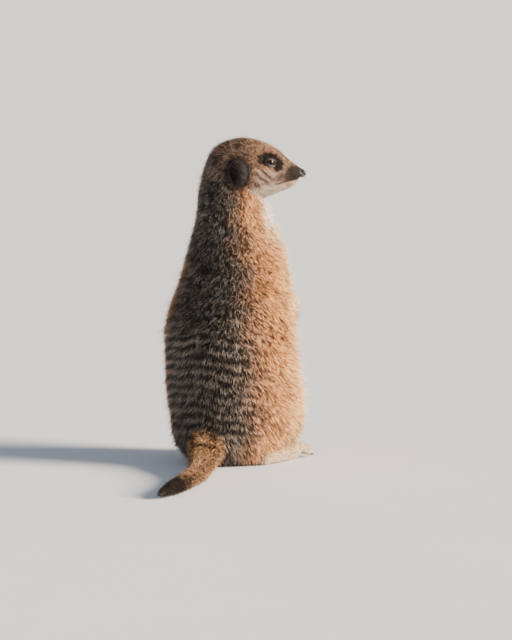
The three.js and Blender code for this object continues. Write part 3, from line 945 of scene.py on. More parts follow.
def marked_material(name, mottle, bumps, roughness, **settings):
    """Fur or furred skin: the markings' colour with finer mottling, and a nap of (grain, height) bumps."""
    shader = Shader(name, **settings)
    marks = shader.add("ShaderNodeAttribute", attribute_name="Markings")
    shade = shader.ranged(shader.grain(mottle), 0.72, 1.28)
    shader.feed("Base Color", shader.tinted(marks.outputs["Color"], shade))
    shader.feed("Roughness", shader.ranged(shader.grain(mottle * 0.6), *roughness))
    for scale, distance in bumps:
        shader.bump(shader.grain(scale, 2.0), distance)
    return shader


def fur_material():
    """The tufts' hair."""
    return marked_material(
        "fur", mottle=900, bumps=[(5200, 0.00006)], roughness=(0.5, 0.72),
        Sheen_Weight=0.1, Sheen_Roughness=0.4, Sheen_Tint=(1.0, 0.86, 0.7, 1), Specular_IOR_Level=0.3,
    ).material


DAMP_ROUGHNESS = 0.28


def skin_material():
    """Short flat hair: fine streaks of bump, and damp bare rims round the eyes."""
    shader = marked_material(
        "furred_skin", mottle=1500, bumps=[(1600, 0.00022), (4200, 0.00014)], roughness=(0.55, 0.8),
        Sheen_Weight=0.15, Sheen_Roughness=0.5, Sheen_Tint=(1.0, 0.9, 0.8, 1), Specular_IOR_Level=0.4,
    )
    damp = shader.add("ShaderNodeAttribute", attribute_name="Damp")
    blend = shader.add("ShaderNodeMix", data_type="FLOAT")
    dry = shader.surface.inputs["Roughness"].links[0].from_socket
    shader.link(damp.outputs["Fac"], blend.inputs["Factor"])
    shader.link(dry, blend.inputs["A"])
    blend.inputs["B"].default_value = DAMP_ROUGHNESS
    shader.feed("Roughness", blend.outputs["Result"])
    return shader.material


def ramp_of(shader, value, stops):
    """A colour ramp through {place: screen colour}."""
    node = shader.add("ShaderNodeValToRGB")
    ramp = node.color_ramp
    for index, (place, colour) in enumerate(stops.items()):
        stop = ramp.elements[index] if index < 2 else ramp.elements.new(place)
        stop.position = place
        stop.color = (*rgb(*colour), 1)
    shader.link(value, node.inputs["Fac"])
    return node.outputs["Color"]


PUPIL = (0.42, 0.30)  # half its width and height, in eye radii
PUPIL_COLOUR = (10, 8, 8)
IRIS = 0.74  # its radius, in eye radii


def eye_material():
    """A dark brown iris with fine spokes round a wide pupil, under a wet clear front."""
    shader = Shader(
        "eye", Roughness=0.3, Specular_IOR_Level=0.1, Coat_Weight=0.5, Coat_Roughness=0.02, Coat_IOR=1.36
    )
    face = shader.add("ShaderNodeAttribute", attribute_name="Face")

    def distance(across, up):
        """How far from the middle: 1 is `across` to the side of it or `up` above it."""
        scaled = shader.add("ShaderNodeVectorMath", operation="MULTIPLY")
        scaled.inputs[1].default_value = (1 / across, 1 / up, 0)
        length = shader.add("ShaderNodeVectorMath", operation="LENGTH")
        shader.link(face.outputs["Vector"], scaled.inputs[0])
        shader.link(scaled.outputs["Vector"], length.inputs[0])
        return length.outputs["Value"]

    spokes = shader.add(
        "ShaderNodeTexWave", wave_type="BANDS", Scale=6.0, Distortion=9.0, Detail=3.0, Detail_Scale=6.0
    )
    shader.link(face.outputs["Vector"], spokes.inputs["Vector"])
    iris = ramp_of(shader, distance(IRIS, IRIS), {
        0.0: (22, 14, 10), 0.55: (32, 20, 14), 0.86: (22, 14, 11), 1.0: (7, 5, 5),
    })
    streaked = shader.tinted(iris, shader.ranged(spokes.outputs["Fac"], 0.7, 1.25))
    half_way = distance(2 * PUPIL[0], 2 * PUPIL[1])
    outside = ramp_of(shader, half_way, {0.0: (0, 0, 0), 0.46: (0, 0, 0), 0.54: (255, 255, 255)})
    mix = shader.add("ShaderNodeMix", data_type="RGBA")
    shader.link(outside, mix.inputs["Factor"])
    mix.inputs["A"].default_value = (*rgb(*PUPIL_COLOUR), 1)
    shader.link(streaked, mix.inputs["B"])
    shader.feed("Base Color", mix.outputs["Result"])
    shader.bump(shader.grain(3000, 1.0), 0.00001)
    return shader.material


def nose_material():
    """Damp pebbled leather."""
    shader = Shader("nose_leather", Specular_IOR_Level=0.5, Coat_Weight=0.35, Coat_Roughness=0.2)
    marks = shader.add("ShaderNodeAttribute", attribute_name="Markings")
    shade = shader.ranged(shader.grain(700), 0.6, 1.5)
    shader.feed("Base Color", shader.tinted(marks.outputs["Color"], shade))
    place = shader.add("ShaderNodeTexCoord")
    pebbles = shader.add("ShaderNodeTexVoronoi", Scale=2100.0, feature="SMOOTH_F1")
    shader.link(place.outputs["Object"], pebbles.inputs["Vector"])
    shader.bump(pebbles.outputs["Distance"], 0.00016)
    shader.feed("Roughness", shader.ranged(shader.grain(1200), 0.28, 0.5))
    return shader.material


def claw_material():
    """Dark horn, streaked along the claw."""
    shader = Shader("horn", Specular_IOR_Level=0.5, Coat_Weight=0.2, Coat_Roughness=0.25)
    base = ramp_of(shader, shader.grain(900, 5.0), {
        0.25: (26, 20, 18), 0.55: (52, 42, 36), 0.85: (92, 78, 66),
    })
    shader.feed("Base Color", base)
    shader.feed("Roughness", shader.ranged(shader.grain(1800), 0.3, 0.5))
    shader.bump(shader.grain(1500, 3.0, stretch=(3, 3, 0.4)), 0.00008)
    return shader.material


def floor_material():
    """A pale matt studio floor."""
    shader = Shader("pale_floor", Specular_IOR_Level=0.2, Roughness=0.8)
    base = ramp_of(shader, shader.grain(6, 3.0), {0.0: (214, 224, 238), 1.0: (222, 232, 246)})
    shader.feed("Base Color", base)
    return shader.material


# --- Pieces ---------------------------------------------------------------------------------------------

def mesh_object(name, points, faces, material, replaces=()):
    """A piece from points in millimetres and faces that all have the same number of corners."""
    mesh = bpy.data.meshes.new(name)
    corners = faces.shape[1]
    mesh.vertices.add(len(points))
    mesh.vertices.foreach_set("co", (points * MM).astype(np.float32).ravel())
    mesh.loops.add(faces.size)
    mesh.loops.foreach_set("vertex_index", faces.astype(np.int32).ravel())
    mesh.polygons.add(len(faces))
    mesh.polygons.foreach_set("loop_start", np.arange(0, faces.size, corners, dtype=np.int32))
    mesh.update(calc_edges=True)
    mesh.materials.append(material)
    piece = add_object(name, mesh)
    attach(piece, "root")
    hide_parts(*replaces)
    return piece


def give_colours(piece, name, colours):
    """Stores a colour for each vertex."""
    layer = piece.data.color_attributes.new(name, "FLOAT_COLOR", "POINT")
    whole = np.ones((len(colours), 4), np.float32)
    whole[:, :3] = colours
    layer.data.foreach_set("color", whole.ravel())


def give_values(piece, name, values):
    """Stores a number for each vertex."""
    layer = piece.data.attributes.new(name, "FLOAT", "POINT")
    layer.data.foreach_set("value", np.asarray(values, np.float32))


def ball(rings, spokes):
    """The directions and triangles of a ball whose rings run round its first axis."""
    turn = np.arange(spokes) * 2 * math.pi / spokes
    fall = np.linspace(0, math.pi, rings + 2)[1:-1, None]
    around = np.stack([
        np.cos(fall) + 0 * turn,
        np.sin(fall) * np.cos(turn),
        np.sin(fall) * np.sin(turn),
    ], axis=2).reshape(-1, 3)
    points = np.vstack([around, [[1, 0, 0], [-1, 0, 0]]])
    front, back = len(around), len(around) + 1
    spoke = np.arange(spokes)
    after = (spoke + 1) % spokes
    last = (rings - 1) * spokes
    caps = [
        np.stack([after, spoke, np.full(spokes, front)], 1)[:, ::-1],
        np.stack([last + spoke, last + after, np.full(spokes, back)], 1)[:, ::-1],
    ]
    return points, np.vstack([ring_faces(rings, spokes)[:, ::-1], *caps])


CORNEA = {"rise": 0.45, "reach": 0.62}  # in mm, and in radians off the eye's axis


def make_eyes(material):
    """The eyeballs, each with the rise of its cornea in front."""
    for eye in EYES:
        way, faces = ball(56, 72)
        fall = np.arccos(np.clip(way[:, 0], -1, 1))
        radius = eye.radius + CORNEA["rise"] * bell(fall, 0, CORNEA["reach"])
        points = eye.place(way[:, 1] * radius, way[:, 2] * radius, way[:, 0] * radius)
        faces = outward(points, faces)
        piece = mesh_object(f"eyeball_{eye.side}", points, faces, material, [f"eye_{eye.side}"])
        give_colours(piece, "Face", np.stack([way[:, 1], way[:, 2], 0 * fall], 1))


def outward(points, faces):
    """The faces of a closed body, turned to face out."""
    a, b, c = corners_of(points, faces)
    volume = (np.cross(a, b) * c).sum()
    return faces if volume > 0 else faces[:, ::-1]


# The pad's own near black, and a paler lower edge that is a painted highlight.
NOSE_COLOURS = {"pad": (27, 21, 21), "lip": (96, 76, 72)}


def make_nose(material):
    """The nose pad: a rounded pad with a groove down its middle and two comma nostrils, with a painted
    highlight along its lower edge and painted shade inside its nostrils.
    """
    way, faces = ball(44, 64)
    ahead, side, up = way.T
    near = abs(side)
    nostril = bell(near, 0.56, 0.17) * bell(up, 0.0, 0.22) * step(0.2, 0.5, ahead)
    slit = bell(near, 0.86, 0.14) * bell(up, 0.14, 0.11) * step(-0.2, 0.2, ahead)
    groove = bell(side, 0, 0.07) * step(0.45, 0.1, up) * step(0.1, 0.5, ahead)
    wing = bell(near, 0.70, 0.30) * bell(up, 0.46, 0.20) * step(0.0, 0.4, ahead)
    move = 0.5 * wing - 2.1 * nostril - 1.5 * slit - 0.5 * groove
    points = from_nose_axes(way * NOSE["radii"] + way * move[:, None])
    piece = mesh_object("nose_pad", points, outward(points, faces), material, ["nose"])
    # Painted highlight: the lower edge is paler.
    lip = (step(-0.35, -0.62, up) * step(0.95, 0.75, near))[:, None]
    colour = rgb(*NOSE_COLOURS["pad"]) * (1 - lip) + rgb(*NOSE_COLOURS["lip"]) * lip
    # Painted shade: the nostrils and slits are darkened inside.
    hole = np.clip(1.3 * (nostril + slit), 0, 0.92)[:, None]
    give_colours(piece, "Markings", colour * (1 - hole))


CLAW_SWELL = 0.16  # makes up for what rounding takes off


def rounded(holder):
    """Two rounds of subdivision."""
    modifier = holder.modifiers.new("round", "SUBSURF")
    modifier.levels = modifier.render_levels = 2


def make_claws(material):
    """Each claw's solid, rounded."""
    for name in [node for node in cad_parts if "claw" in node]:
        fine = with_modifiers(made_mesh(swollen(name, CLAW_SWELL), name), rounded)
        work = bmesh.new()
        work.from_mesh(fine)
        bmesh.ops.triangulate(work, faces=work.faces)
        points, faces = read_mesh(made_mesh(work, name))
        mesh_object(f"horn_{name}", points, faces, material, [name])


def make_skin_piece(material, tones, damp):
    """The skin as a piece, a little darker than the coat over it."""
    piece = mesh_object("skin", skin.points, skin.faces, material, [
        name for name in FLESH if name.split("_")[0] not in ("eye", "nose")
    ])
    share = (tones.share * 0.8)[:, None]
    give_colours(piece, "Markings", (tones.dark * (1 - share) + tones.pale * share) * 0.85)
    give_values(piece, "Damp", damp)


# --- The coat -------------------------------------------------------------------------------------------

FACE_FROM = 9.0  # the head's coat is two pieces, that meet at this place along it
COAT_PIECES = {
    "coat_face": ("head",),
    "coat_crown": ("head",),
    "coat_ears": ("ear",),
    "coat_neck": ("neck",),
    "coat_chest_right": ("chest",),
    "coat_chest_left": ("chest",),
    "coat_belly_right": ("belly",),
    "coat_belly_left": ("belly",),
    "coat_rump": ("rump",),
    "coat_thighs": ("thigh", "shank"),
    "coat_arms": ("upper_arm", "forearm"),
    "coat_paws": ("forepaw", "hindpaw"),
    "coat_tail": ("tail_root", "tail_middle", "tail_end", "tail_tip"),
}
MOST_TUFTS = 19800  # in one piece, at ten triangles each
TUFT_MIDDLE = 0.52  # where a tuft is widest and bends, as a share of its length
PATCH = 0.003  # a tuft's size on the OFBake map
BARE_LID = (0.9, 1.8)  # no hair within the first distance of the lids' edge, all of it beyond the second
FINER = {-10: 1.0, 12: 0.78, 26: 0.66, 38: 0.55, 50: 0.5}  # how the head's tufts narrow towards the nose


def piece_of_faces():
    """The coat piece that each of the skin's faces belongs to."""
    names = list(COAT_PIECES)
    region = skin_region[skin.faces[:, 0]]
    middles = skin.points[skin.faces].mean(axis=1)
    piece = np.zeros(len(skin.faces), int)
    for index, name in enumerate(names):
        on_side = middles[:, 0] > 0 if name.endswith("_left") else np.full(len(middles), True)
        piece[in_regions(region, *COAT_PIECES[name]) & on_side] = index
    on_face = to_head(middles)[:, 0] > FACE_FROM
    piece[in_regions(region, "head") & on_face] = names.index("coat_face")
    piece[in_regions(region, "head") & ~on_face] = names.index("coat_crown")
    return piece


def in_ear_hole(points):
    """1 in the ears' hollows."""
    along, out, up = to_head(points).T
    return step(1.1, 0.85, np.hypot(*in_ear(along, up)) + 0.12 * noise(points, 3.0)) * step(17, 20, abs(out))


def hair_settings():
    """Each skin vertex's hair: width, density, and lift at the root and the tip."""
    points = skin.points
    along, _, _ = to_head(points).T
    on_head = in_regions(skin_region, "head")
    finer = np.where(on_head, along_table(FINER, along), 1.0)
    width = of_regions(skin_region, "width") * finer
    density = of_regions(skin_region, "density") * finer**-1.6
    density *= step(*BARE_LID, skin_lid)
    density *= step(1.0, 1.1, np.linalg.norm(nose_axes(points) / NOSE["radii"], axis=1))
    density *= 1 - 0.93 * in_ear_hole(points)
    unseen = step(-0.5, -0.9, skin.normals()[:, 2]) * step(9, 3, points[:, 2])
    density *= 1 - 0.8 * unseen

    lift = of_regions(skin_region, "lift").astype(float)
    on_muzzle = (step(20, 36, along) * on_head)[:, None]
    lift += (np.array(MUZZLE_LIFT) - lift) * on_muzzle
    trunk = in_regions(skin_region, "neck", "chest", "belly", "rump", "thigh", "upper_arm")
    on_front = (step(80, 125, off_back(points)) * trunk)[:, None]
    lift += (np.array(FRONT_LIFT) - lift) * on_front
    return {"width": skin.blurred(width, 6), "density": density, "lift": skin.blurred(lift, 12)}


def scatter(faces, rate, most, rng):
    """Even random places on some of the skin's faces: the face, and the shares of its three corners."""
    area = np.linalg.norm(skin.face_normals()[faces], axis=1) / 2
    wanted = np.cumsum(area * rate)
    count = min(int(wanted[-1]), most)
    chosen = np.searchsorted(wanted, (np.arange(count) + rng.random(count)) / count * wanted[-1])
    first, second = rng.random((2, count))
    over = first + second > 1
    first[over], second[over] = 1 - first[over], 1 - second[over]
    return faces[np.minimum(chosen, len(faces) - 1)], np.stack([1 - first - second, first, second], axis=1)


def at_places(values, faces, shares):
    """The vertices' values at places inside faces."""
    corners = values[skin.faces[faces]]
    return (corners * shares.reshape(shares.shape + (1,) * (corners.ndim - 2))).sum(axis=1)


def unwrapped(points, normals, charts):
    """Places on the OFBake map: each chart is unrolled round its own long axis into a column of its own."""
    places = np.zeros((len(points), 2))
    kinds = np.unique(charts)
    for column, kind in enumerate(kinds):
        here = charts == kind
        inside = points[here] - points[here].mean(axis=0)
        _, _, axes = np.linalg.svd(inside, full_matrices=False)
        along, a, b = (inside @ axes.T).T
        half = np.percentile(abs(along), 99)
        reach = np.hypot(a, b)
        roll = np.arctan2(b, a) / (2 * math.pi) + 0.5
        climb = np.arctan2(along / half, reach / np.median(reach))
        climb = (climb - climb.min()) / np.ptp(climb)
        places[here, 0] = (column + 0.02 + 0.95 * roll) / len(kinds)
        places[here, 1] = 0.005 + 0.985 * climb
    return places


RING = np.array([[-0.5, 0.0], [0.5, 0.0], [0.0, 0.42]])  # a tuft's cross-section: across, and off the skin
# On each of a tuft's three sides two triangles reach its middle and one its tip. One more closes its root.
TUFT_FACES = np.array([
    face
    for k, after in ((0, 1), (1, 2), (2, 0))
    for face in ((k, after, 3 + after), (k, 3 + after, 3 + k), (3 + k, 3 + after, 6))
] + [(0, 2, 1)])
# The corners' places on the tuft's own patch, its sides unrolled, with a strip for the root below them.
ROOT_STRIP = 0.2
TUFT_PATCH = np.array([
    corners
    for k in range(3)
    for corners in (
        ((k, 0.0), (k + 1, 0.0), (k + 1, 0.5)),
        ((k, 0.0), (k + 1, 0.5), (k, 0.5)),
        ((k, 0.5), (k + 1, 0.5), (k + 0.5, 1.0)),
    )
] + [((0, -ROOT_STRIP), (3, -ROOT_STRIP), (1.5, -ROOT_STRIP / 4))])
TUFT_PATCH = (TUFT_PATCH / (3, 1) + (0, ROOT_STRIP)) / (1 + ROOT_STRIP)

SHORT_COATS = ("coat_face", "coat_crown", "coat_ears", "coat_paws", "coat_tail")
# How hair strays, in degrees: each hair alone, and swirls of hair, aside from its lie and off the skin.
RUFFLE = {
    "long": {"alone": 18, "aside": 34, "off": 9, "swirl": 6.5},
    "short": {"alone": 12, "aside": 8, "off": 3, "swirl": 4},
}
# How hairs differ: degrees of lift, degrees more at the root or the tip, and shares of length and width.
SPREAD = {"lift": 8, "bend": 4, "length": (0.6, 1.26), "width": (0.75, 1.25)}
BAND_LIFT = math.radians(9)  # pale bands stand out, dark ones lie flat
FRINGE = {"longer": 1.2, "longest": 1.65, "longest_short": 1.4, "lift": math.radians(8), "width": 0.62}
ROOTED = 0.35  # how deep in the skin a tuft starts
TUFT_CLEAR = 0.15  # a tuft's least height over the floor
HEM = {"height": 14.0, "hang": 5.0}  # roots lower than this hang to the floor, by up to so much more


def combed(root, normal, way, ruffle, rng):
    """The way of each hair, strayed from the coat's, and the way across it."""
    swirl = ruffle["aside"] * noise(root, ruffle["swirl"], 2.0)
    sway = np.radians(rng.normal(0, ruffle["alone"], len(root)) + swirl)
    across = unit(np.cross(normal, way))
    way = unit(way * np.cos(sway)[:, None] + across * np.sin(sway)[:, None])
    return way, np.cross(normal, way)


def hair_sizes(name, root, way, lift, width, depth, rng):
    """Each hair's lift at its root and tip, its length and its width."""
    count = len(root)
    shaggy = name not in SHORT_COATS
    ruffle = RUFFLE["long" if shaggy else "short"]
    bands = banding(root + way * 5)
    lift = lift + rng.normal(0, SPREAD["lift"], (count, 1)) + rng.normal(0, SPREAD["bend"], (count, 2))
    lift = np.radians(lift + ruffle["off"] * noise(root, ruffle["swirl"], 9.0)[:, None])
    lift[:, 0] += BAND_LIFT * bands * shaggy
    rise = TUFT_MIDDLE * np.sin(lift[:, 0]) + (1 - TUFT_MIDDLE) * np.sin(lift[:, 1])
    length = 0.4 + 1.02 * depth / np.clip(rise, 0.25, 1) * rng.uniform(*SPREAD["length"], count)
    width = width * rng.uniform(*SPREAD["width"], count)
    if shaggy or name in ("coat_crown", "coat_tail"):
        fringe = fringe_share(root) > rng.random(count)
        longest = FRINGE["longest" if shaggy else "longest_short"]
        longer = rng.uniform(FRINGE["longer"], longest, int(fringe.sum()))
        length[fringe] *= longer + 0.3 * step(70, 110, off_back(root[fringe])) * shaggy
        lift[fringe] += FRINGE["lift"]
        width[fringe] *= FRINGE["width"]
    return lift, length, width


def hair_points(name, root, normal, way, across, lift, length, width, rng):
    """Each hair's middle, and its seven vertices: rings of three at its root and its middle, then its tip."""
    leave = way * np.cos(lift[:, :1]) + normal * np.sin(lift[:, :1])
    end = way * np.cos(lift[:, 1:]) + normal * np.sin(lift[:, 1:])
    base = root - normal * ROOTED
    middle = root + leave * (TUFT_MIDDLE * length)[:, None]
    tip = middle + end * ((1 - TUFT_MIDDLE) * length)[:, None]
    if name not in SHORT_COATS:
        hang = HEM["hang"] * step(HEM["height"], HEM["height"] / 3, root[:, 2])
        middle[:, 2] -= 0.35 * hang
        tip[:, 2] -= hang
    if name not in SHORT_COATS or name == "coat_tail":
        tip = clumped(root, tip, rng)
    off = np.cross(across, leave)
    rings = [
        centre + (across * a + off * b) * (width * share)[:, None]
        for centre, share in ((base, 0.7), (middle, 1.0))
        for a, b in RING
    ]
    return middle, np.stack([*rings, tip], axis=1)


def chart_of(name, root, faces):
    """Which chart of the map each tuft is on: its region's, with the two of a pair apart."""
    on_left = to_head(root)[:, 1] > 0 if name == "coat_ears" else root[:, 0] > 0
    paired = name in ("coat_ears", "coat_thighs", "coat_arms", "coat_paws")
    return skin_region[skin.faces[faces][:, 0]] * 2 + on_left * paired


def grow_tufts(rng):
    """Every tuft's vertices and colours, with its coat piece and its place on that piece's map."""
    settings = hair_settings()
    over_skin = [
        skin.points, skin.normals(), lie_of_coat(skin, skin_region), skin_depth,
        settings["lift"], settings["width"], skin_tones.dark, skin_tones.pale, skin_tones.share,
    ]
    pieces = piece_of_faces()
    grown = {}
    for index, name in enumerate(COAT_PIECES):
        faces = np.nonzero(pieces == index)[0]
        rate = settings["density"][skin.faces[faces]].mean(axis=1)
        chosen, shares = scatter(faces, rate, MOST_TUFTS, rng)
        root, normal, way, depth, lift, width, *tones = (
            at_places(values, chosen, shares) for values in over_skin
        )
        normal = unit(normal)
        shaggy = name not in SHORT_COATS
        way, across = combed(root, normal, way, RUFFLE["long" if shaggy else "short"], rng)
        lift, length, width = hair_sizes(name, root, way, lift, width, depth, rng)
        middle, vertices = hair_points(name, root, normal, way, across, lift, length, width, rng)
        luck = dotted(root, BODY_DOT if shaggy else HEAD_DOT, rng)
        colours = tuft_colours(middle, vertices[:, 6], tones, luck, rng)
        vertices[..., 2] = np.maximum(vertices[..., 2], TUFT_CLEAR)
        grown[name] = vertices, colours, unwrapped(root, normal, chart_of(name, root, chosen))
    return grown


def fringe_share(root):
    """The share of hairs that are long and stand out: most at the front edge of the belly and the thighs."""
    front = step(70, 110, off_back(root))
    low = step(12, 30, root[:, 2]) * step(120, 90, root[:, 2])
    return 0.09 + 0.15 * front * low + 0.06 * front


LOCK = {"tufts": 13, "pull": 0.38}


def clumped(root, tip, rng):
    """Tips drawn a little towards those of a nearby tuft, so that the coat falls in locks."""
    leaders = rng.choice(len(root), max(len(root) // LOCK["tufts"], 1), replace=False)
    tree = KDTree(len(leaders))
    for number, leader in enumerate(leaders):
        tree.insert(root[leader], number)
    tree.balance()
    nearest = leaders[[tree.find(place)[1] for place in root.tolist()]]
    pull = LOCK["pull"] * rng.random(len(root))[:, None]
    offset = (tip[nearest] - root[nearest]) - (tip - root)
    return tip + (root[nearest] - root + offset) * pull


HEAD_DOT = 0.85  # the ticking's grain, in mm
BODY_DOT = 1.3
DOT_EDGE = 0.22  # how far hairs stray over a dot's edge, in dots
DOT_STRAY = 0.12  # how far a hair's tone strays from its dot's
BRIGHTNESS = (0.84, 1.2)
BRIGHTEST = 0.92  # a hair's tip


def dotted(root, size, rng):
    """A number from 0 to 1 for each tuft, nearly the same for those in the same small dot."""
    cell = np.floor(root / size + rng.uniform(-DOT_EDGE, DOT_EDGE, root.shape)).astype(int)
    mixed = LATTICE[tuple((cell % LATTICE_SIDE).T)] + rng.normal(0, DOT_STRAY, len(root))
    return np.argsort(np.argsort(mixed)) / len(root)


def tuft_colours(middle, tip, tones, luck, rng):
    """Colours for a tuft's root, middle and tip rings, ticked dot by dot and banded over the back; the root
    ring is dark, partly with painted shade.
    """
    dark, pale, share = tones
    bright = rng.uniform(*BRIGHTNESS, len(tip))[:, None]

    bands = banding(middle * 0.45 + tip * 0.55)
    chance = np.clip(share + 0.5 * bands, 0.03, 0.97)
    chosen = step(luck - 0.1, luck + 0.1, chance)[:, None]
    ticked = (dark * (1 - chosen) + pale * chosen) * (1 + 0.25 * bands)[:, None]
    # The root ring: the hair's own dark base, darkened further with painted shade deep in the coat.
    undercoat_and_shade = dark * 0.6 + pale * 0.07
    at_middle = (0.2 * (dark + pale) / 2 + 0.8 * ticked) * bright
    at_tip = np.minimum(ticked * bright * (0.95 + 0.6 * chosen), BRIGHTEST)
    return np.stack([undercoat_and_shade] * 3 + [at_middle] * 3 + [at_tip], axis=1)


def make_coat(material, rng):
    """The coat's pieces, each one mesh of tufts."""
    for name, (vertices, colours, places) in grow_tufts(rng).items():
        count = len(vertices)
        faces = (TUFT_FACES[None] + 7 * np.arange(count)[:, None, None]).reshape(-1, 3)
        piece = mesh_object(name, vertices.reshape(-1, 3), faces, material)
        give_colours(piece, "Markings", colours.reshape(-1, 3))
        bake = piece.data.uv_layers.new(name="OFBake")
        spots = places[:, None, None, :] + TUFT_PATCH[None] * PATCH
        bake.data.foreach_set("uv", spots.astype(np.float32).ravel())
        print(name, count, "tufts", len(faces), "triangles")


WHISKERS = {
    "length": (13, 24), "radius": 0.11, "steps": 6,
    "way": (-0.75, 0.9, -0.22),  # back, aside and up
    "brow_way": (-0.3, 0.55, 0.75),
}


def make_whiskers(material, rng):
    """Fine whiskers from the muzzle's pads and two over each eye, as one piece."""
    points, faces = [], []
    tree = skin.tree()
    for side in SIDES.values():
        starts = [(36 + 2.0 * (k % 4), -3.8 + 1.7 * (k // 3), WHISKERS["way"]) for k in range(9)]
        starts += [(24 + 1.5 * k, 16.5, WHISKERS["brow_way"]) for k in range(2)]
        for along, up, (back, aside, rise) in starts:
            outside = from_head((along, side * 30, up))
            hit = tree.ray_cast(outside.tolist(), (-LEFT * side).tolist())[0]
            if hit is None:
                continue
            way = from_head((back, aside * side, rise)) - HEAD_CENTRE + rng.normal(0, 0.12, 3)
            length = rng.uniform(*WHISKERS["length"]) * (0.6 if rise > 0 else 1)
            share = np.linspace(0, 1, WHISKERS["steps"] + 1)[:, None]
            line = np.array(hit) + unit(way) * share * length - UP * (share**2) * length * 0.16
            thick = WHISKERS["radius"] * (1 - 0.85 * share)
            b, c = unit(np.cross(way, UP)), unit(np.cross(way, np.cross(way, UP)))
            base = sum(len(p) for p in points)
            turns = np.arange(3) * 2 * math.pi / 3
            ring = [line + thick * (b * math.cos(t) + c * math.sin(t)) for t in turns]
            points.append(np.stack(ring, axis=1).reshape(-1, 3))
            tube = ring_faces(len(line), 3, base)
            last = base + 3 * (len(line) - 1)
            faces.append(np.vstack([tube, [[base, base + 2, base + 1], [last, last + 1, last + 2]]]))
    mesh_object("whiskers", np.vstack(points), np.vstack(faces), material)


def whisker_material():
    """Whiskers, black with paler stretches."""
    shader = Shader("whisker", Roughness=0.4)
    base = ramp_of(shader, shader.grain(180), {0.35: (24, 20, 18), 0.7: (96, 84, 74)})
    shader.feed("Base Color", base)
    return shader.material


EYES_DAMP = (0.05, 0.4)  # the lids' edge is damp up to the first distance, and dry from the second


def lid_tones(tones):
    """The lids' bare skin: near black at the edge, with a painted highlight along the fold above and below.
    """
    tones.mask = (skin_lid < AWAY).astype(float)
    tones.paint(step(2.2, 0.9, skin_lid), (17, 13, 12), (40, 31, 29), 0.3)
    along, _, up = to_head(skin.points).T
    # Painted highlight: a paler line along the lids' fold, below, before and above the eye, in patches.
    below = step(9.2, 7.6, up) * step(19, 21, along)
    before = step(25.8, 27.2, along)
    above = bell(along, 22.0, 1.8) * step(9, 11, up)
    patchy = step(-0.2, 0.3, noise(skin.points, 3.4, 4.0))
    where = 0.55 * np.clip(below + 0.8 * before + 0.7 * above + 0.3 * patchy, 0, 1)
    tones.paint(bell(skin_lid, 1.0, 0.32) * where, (112, 84, 76), (168, 136, 124), 0.5)


def ear_tones(tones):
    """The ears' hollows, dark and reddish, and their front flaps, a little greyer."""
    along, out, up = to_head(skin.points).T
    tones.mask = step(18, 22, abs(out))
    tones.paint(bell(along, 2.5, 4.5) * bell(up, 0, 9.0) * 0.9, (20, 21, 25), (60, 64, 73), 0.45)
    tones.paint(in_ear_hole(skin.points), (26, 12, 15), (70, 36, 40), 0.4)


rng = np.random.default_rng(SEED)
skin_tones = markings(skin, skin_region)
lid_tones(skin_tones)
ear_tones(skin_tones)
make_skin_piece(skin_material(), skin_tones, step(EYES_DAMP[1], EYES_DAMP[0], skin_lid))
make_coat(fur_material(), rng)
make_eyes(eye_material())
make_nose(nose_material())
make_claws(claw_material())
make_whiskers(whisker_material(), rng)


# --- Camera, floor and light ----------------------------------------------------------------------------

VIEW_TURN, VIEW_HEIGHT = math.radians(210), math.radians(6)
FRAME_MM = 525.0  # the view's long side at the animal
LENS, SENSOR = 200.0, 36.0
AIM = (16.4, 114.8)  # the picture's middle, right of and above the origin as seen


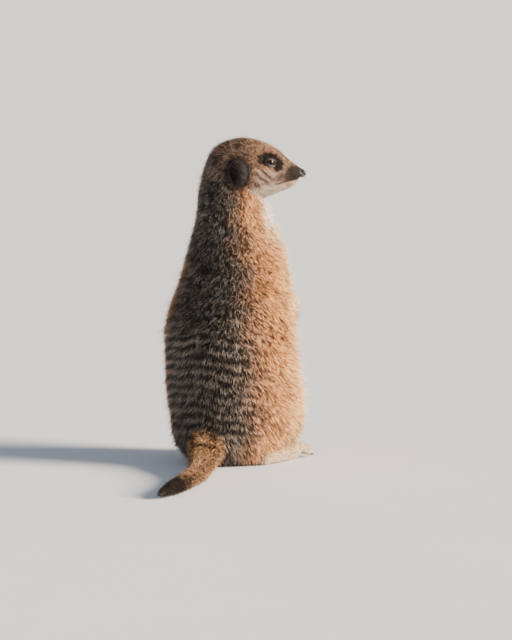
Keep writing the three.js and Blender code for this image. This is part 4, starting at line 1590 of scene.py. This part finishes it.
def make_camera():
    """The photo's view: from behind and to the right, a little above the animal."""
    back = np.array([
        math.sin(VIEW_TURN) * math.cos(VIEW_HEIGHT),
        -math.cos(VIEW_TURN) * math.cos(VIEW_HEIGHT),
        math.sin(VIEW_HEIGHT),
    ])
    right = np.array([math.cos(VIEW_TURN), math.sin(VIEW_TURN), 0.0])
    up = np.cross(back, right)
    distance = FRAME_MM * LENS / SENSOR
    place = right * AIM[0] + up * AIM[1] + back * distance
    data = bpy.data.cameras.new("camera")
    data.lens, data.sensor_width = LENS, SENSOR
    data.clip_end = 200.0
    camera = add_object("camera", data)
    camera.location = place * MM
    camera.rotation_euler = Vector(-back).to_track_quat("-Z", "Y").to_euler()
    bpy.context.scene.camera = camera


FLOOR = {"radius": 60.0, "sides": 64}  # in metres


def make_floor():
    """A round floor wide enough to fill every view."""
    mesh = bpy.data.meshes.new("floor")
    turns = [2 * math.pi * k / FLOOR["sides"] for k in range(FLOOR["sides"])]
    rim = [(FLOOR["radius"] * math.cos(t), FLOOR["radius"] * math.sin(t), 0) for t in turns]
    mesh.from_pydata(rim, [], [tuple(range(len(rim)))])
    mesh.materials.append(floor_material())
    floor = add_object("floor", mesh)


LIT_POINT = (0, 0, 0.14)  # in metres


def softbox(name, place, size, power, colour):
    """A square soft light that faces the animal's middle. Its place is in metres."""
    data = bpy.data.lights.new(name, "AREA")
    data.shape = "SQUARE"
    data.size, data.energy, data.color = size, power, colour
    lamp = add_object(name, data)
    lamp.location = place
    lamp.rotation_euler = (Vector(LIT_POINT) - Vector(place)).to_track_quat("-Z", "Y").to_euler()


def far_softbox(name, toward, strength, spread, colour):
    """A soft light, `spread` degrees across, so far off that it falls evenly on the floor."""
    data = bpy.data.lights.new(name, "SUN")
    data.energy, data.angle, data.color = strength, math.radians(spread), colour
    lamp = add_object(name, data)
    lamp.rotation_euler = Vector(toward).to_track_quat("Z", "Y").to_euler()


def make_light():
    """A warm key from the picture's right, a cool fill from its left, and a pale room."""
    far_softbox("key", toward=(-0.97, -0.24, 0.38), strength=16, spread=22, colour=(1.0, 0.80, 0.60))
    softbox("fill", place=(1.2, 1.9, 1.3), size=1.6, power=9, colour=(0.86, 0.93, 1.0))
    world = bpy.data.worlds.new("studio")
    world.use_nodes = True
    background = world.node_tree.nodes["Background"]
    background.inputs["Color"].default_value = (0.93, 0.95, 1.0, 1)
    background.inputs["Strength"].default_value = 0.34
    bpy.context.scene.world = world


make_camera()
make_floor()
make_light()
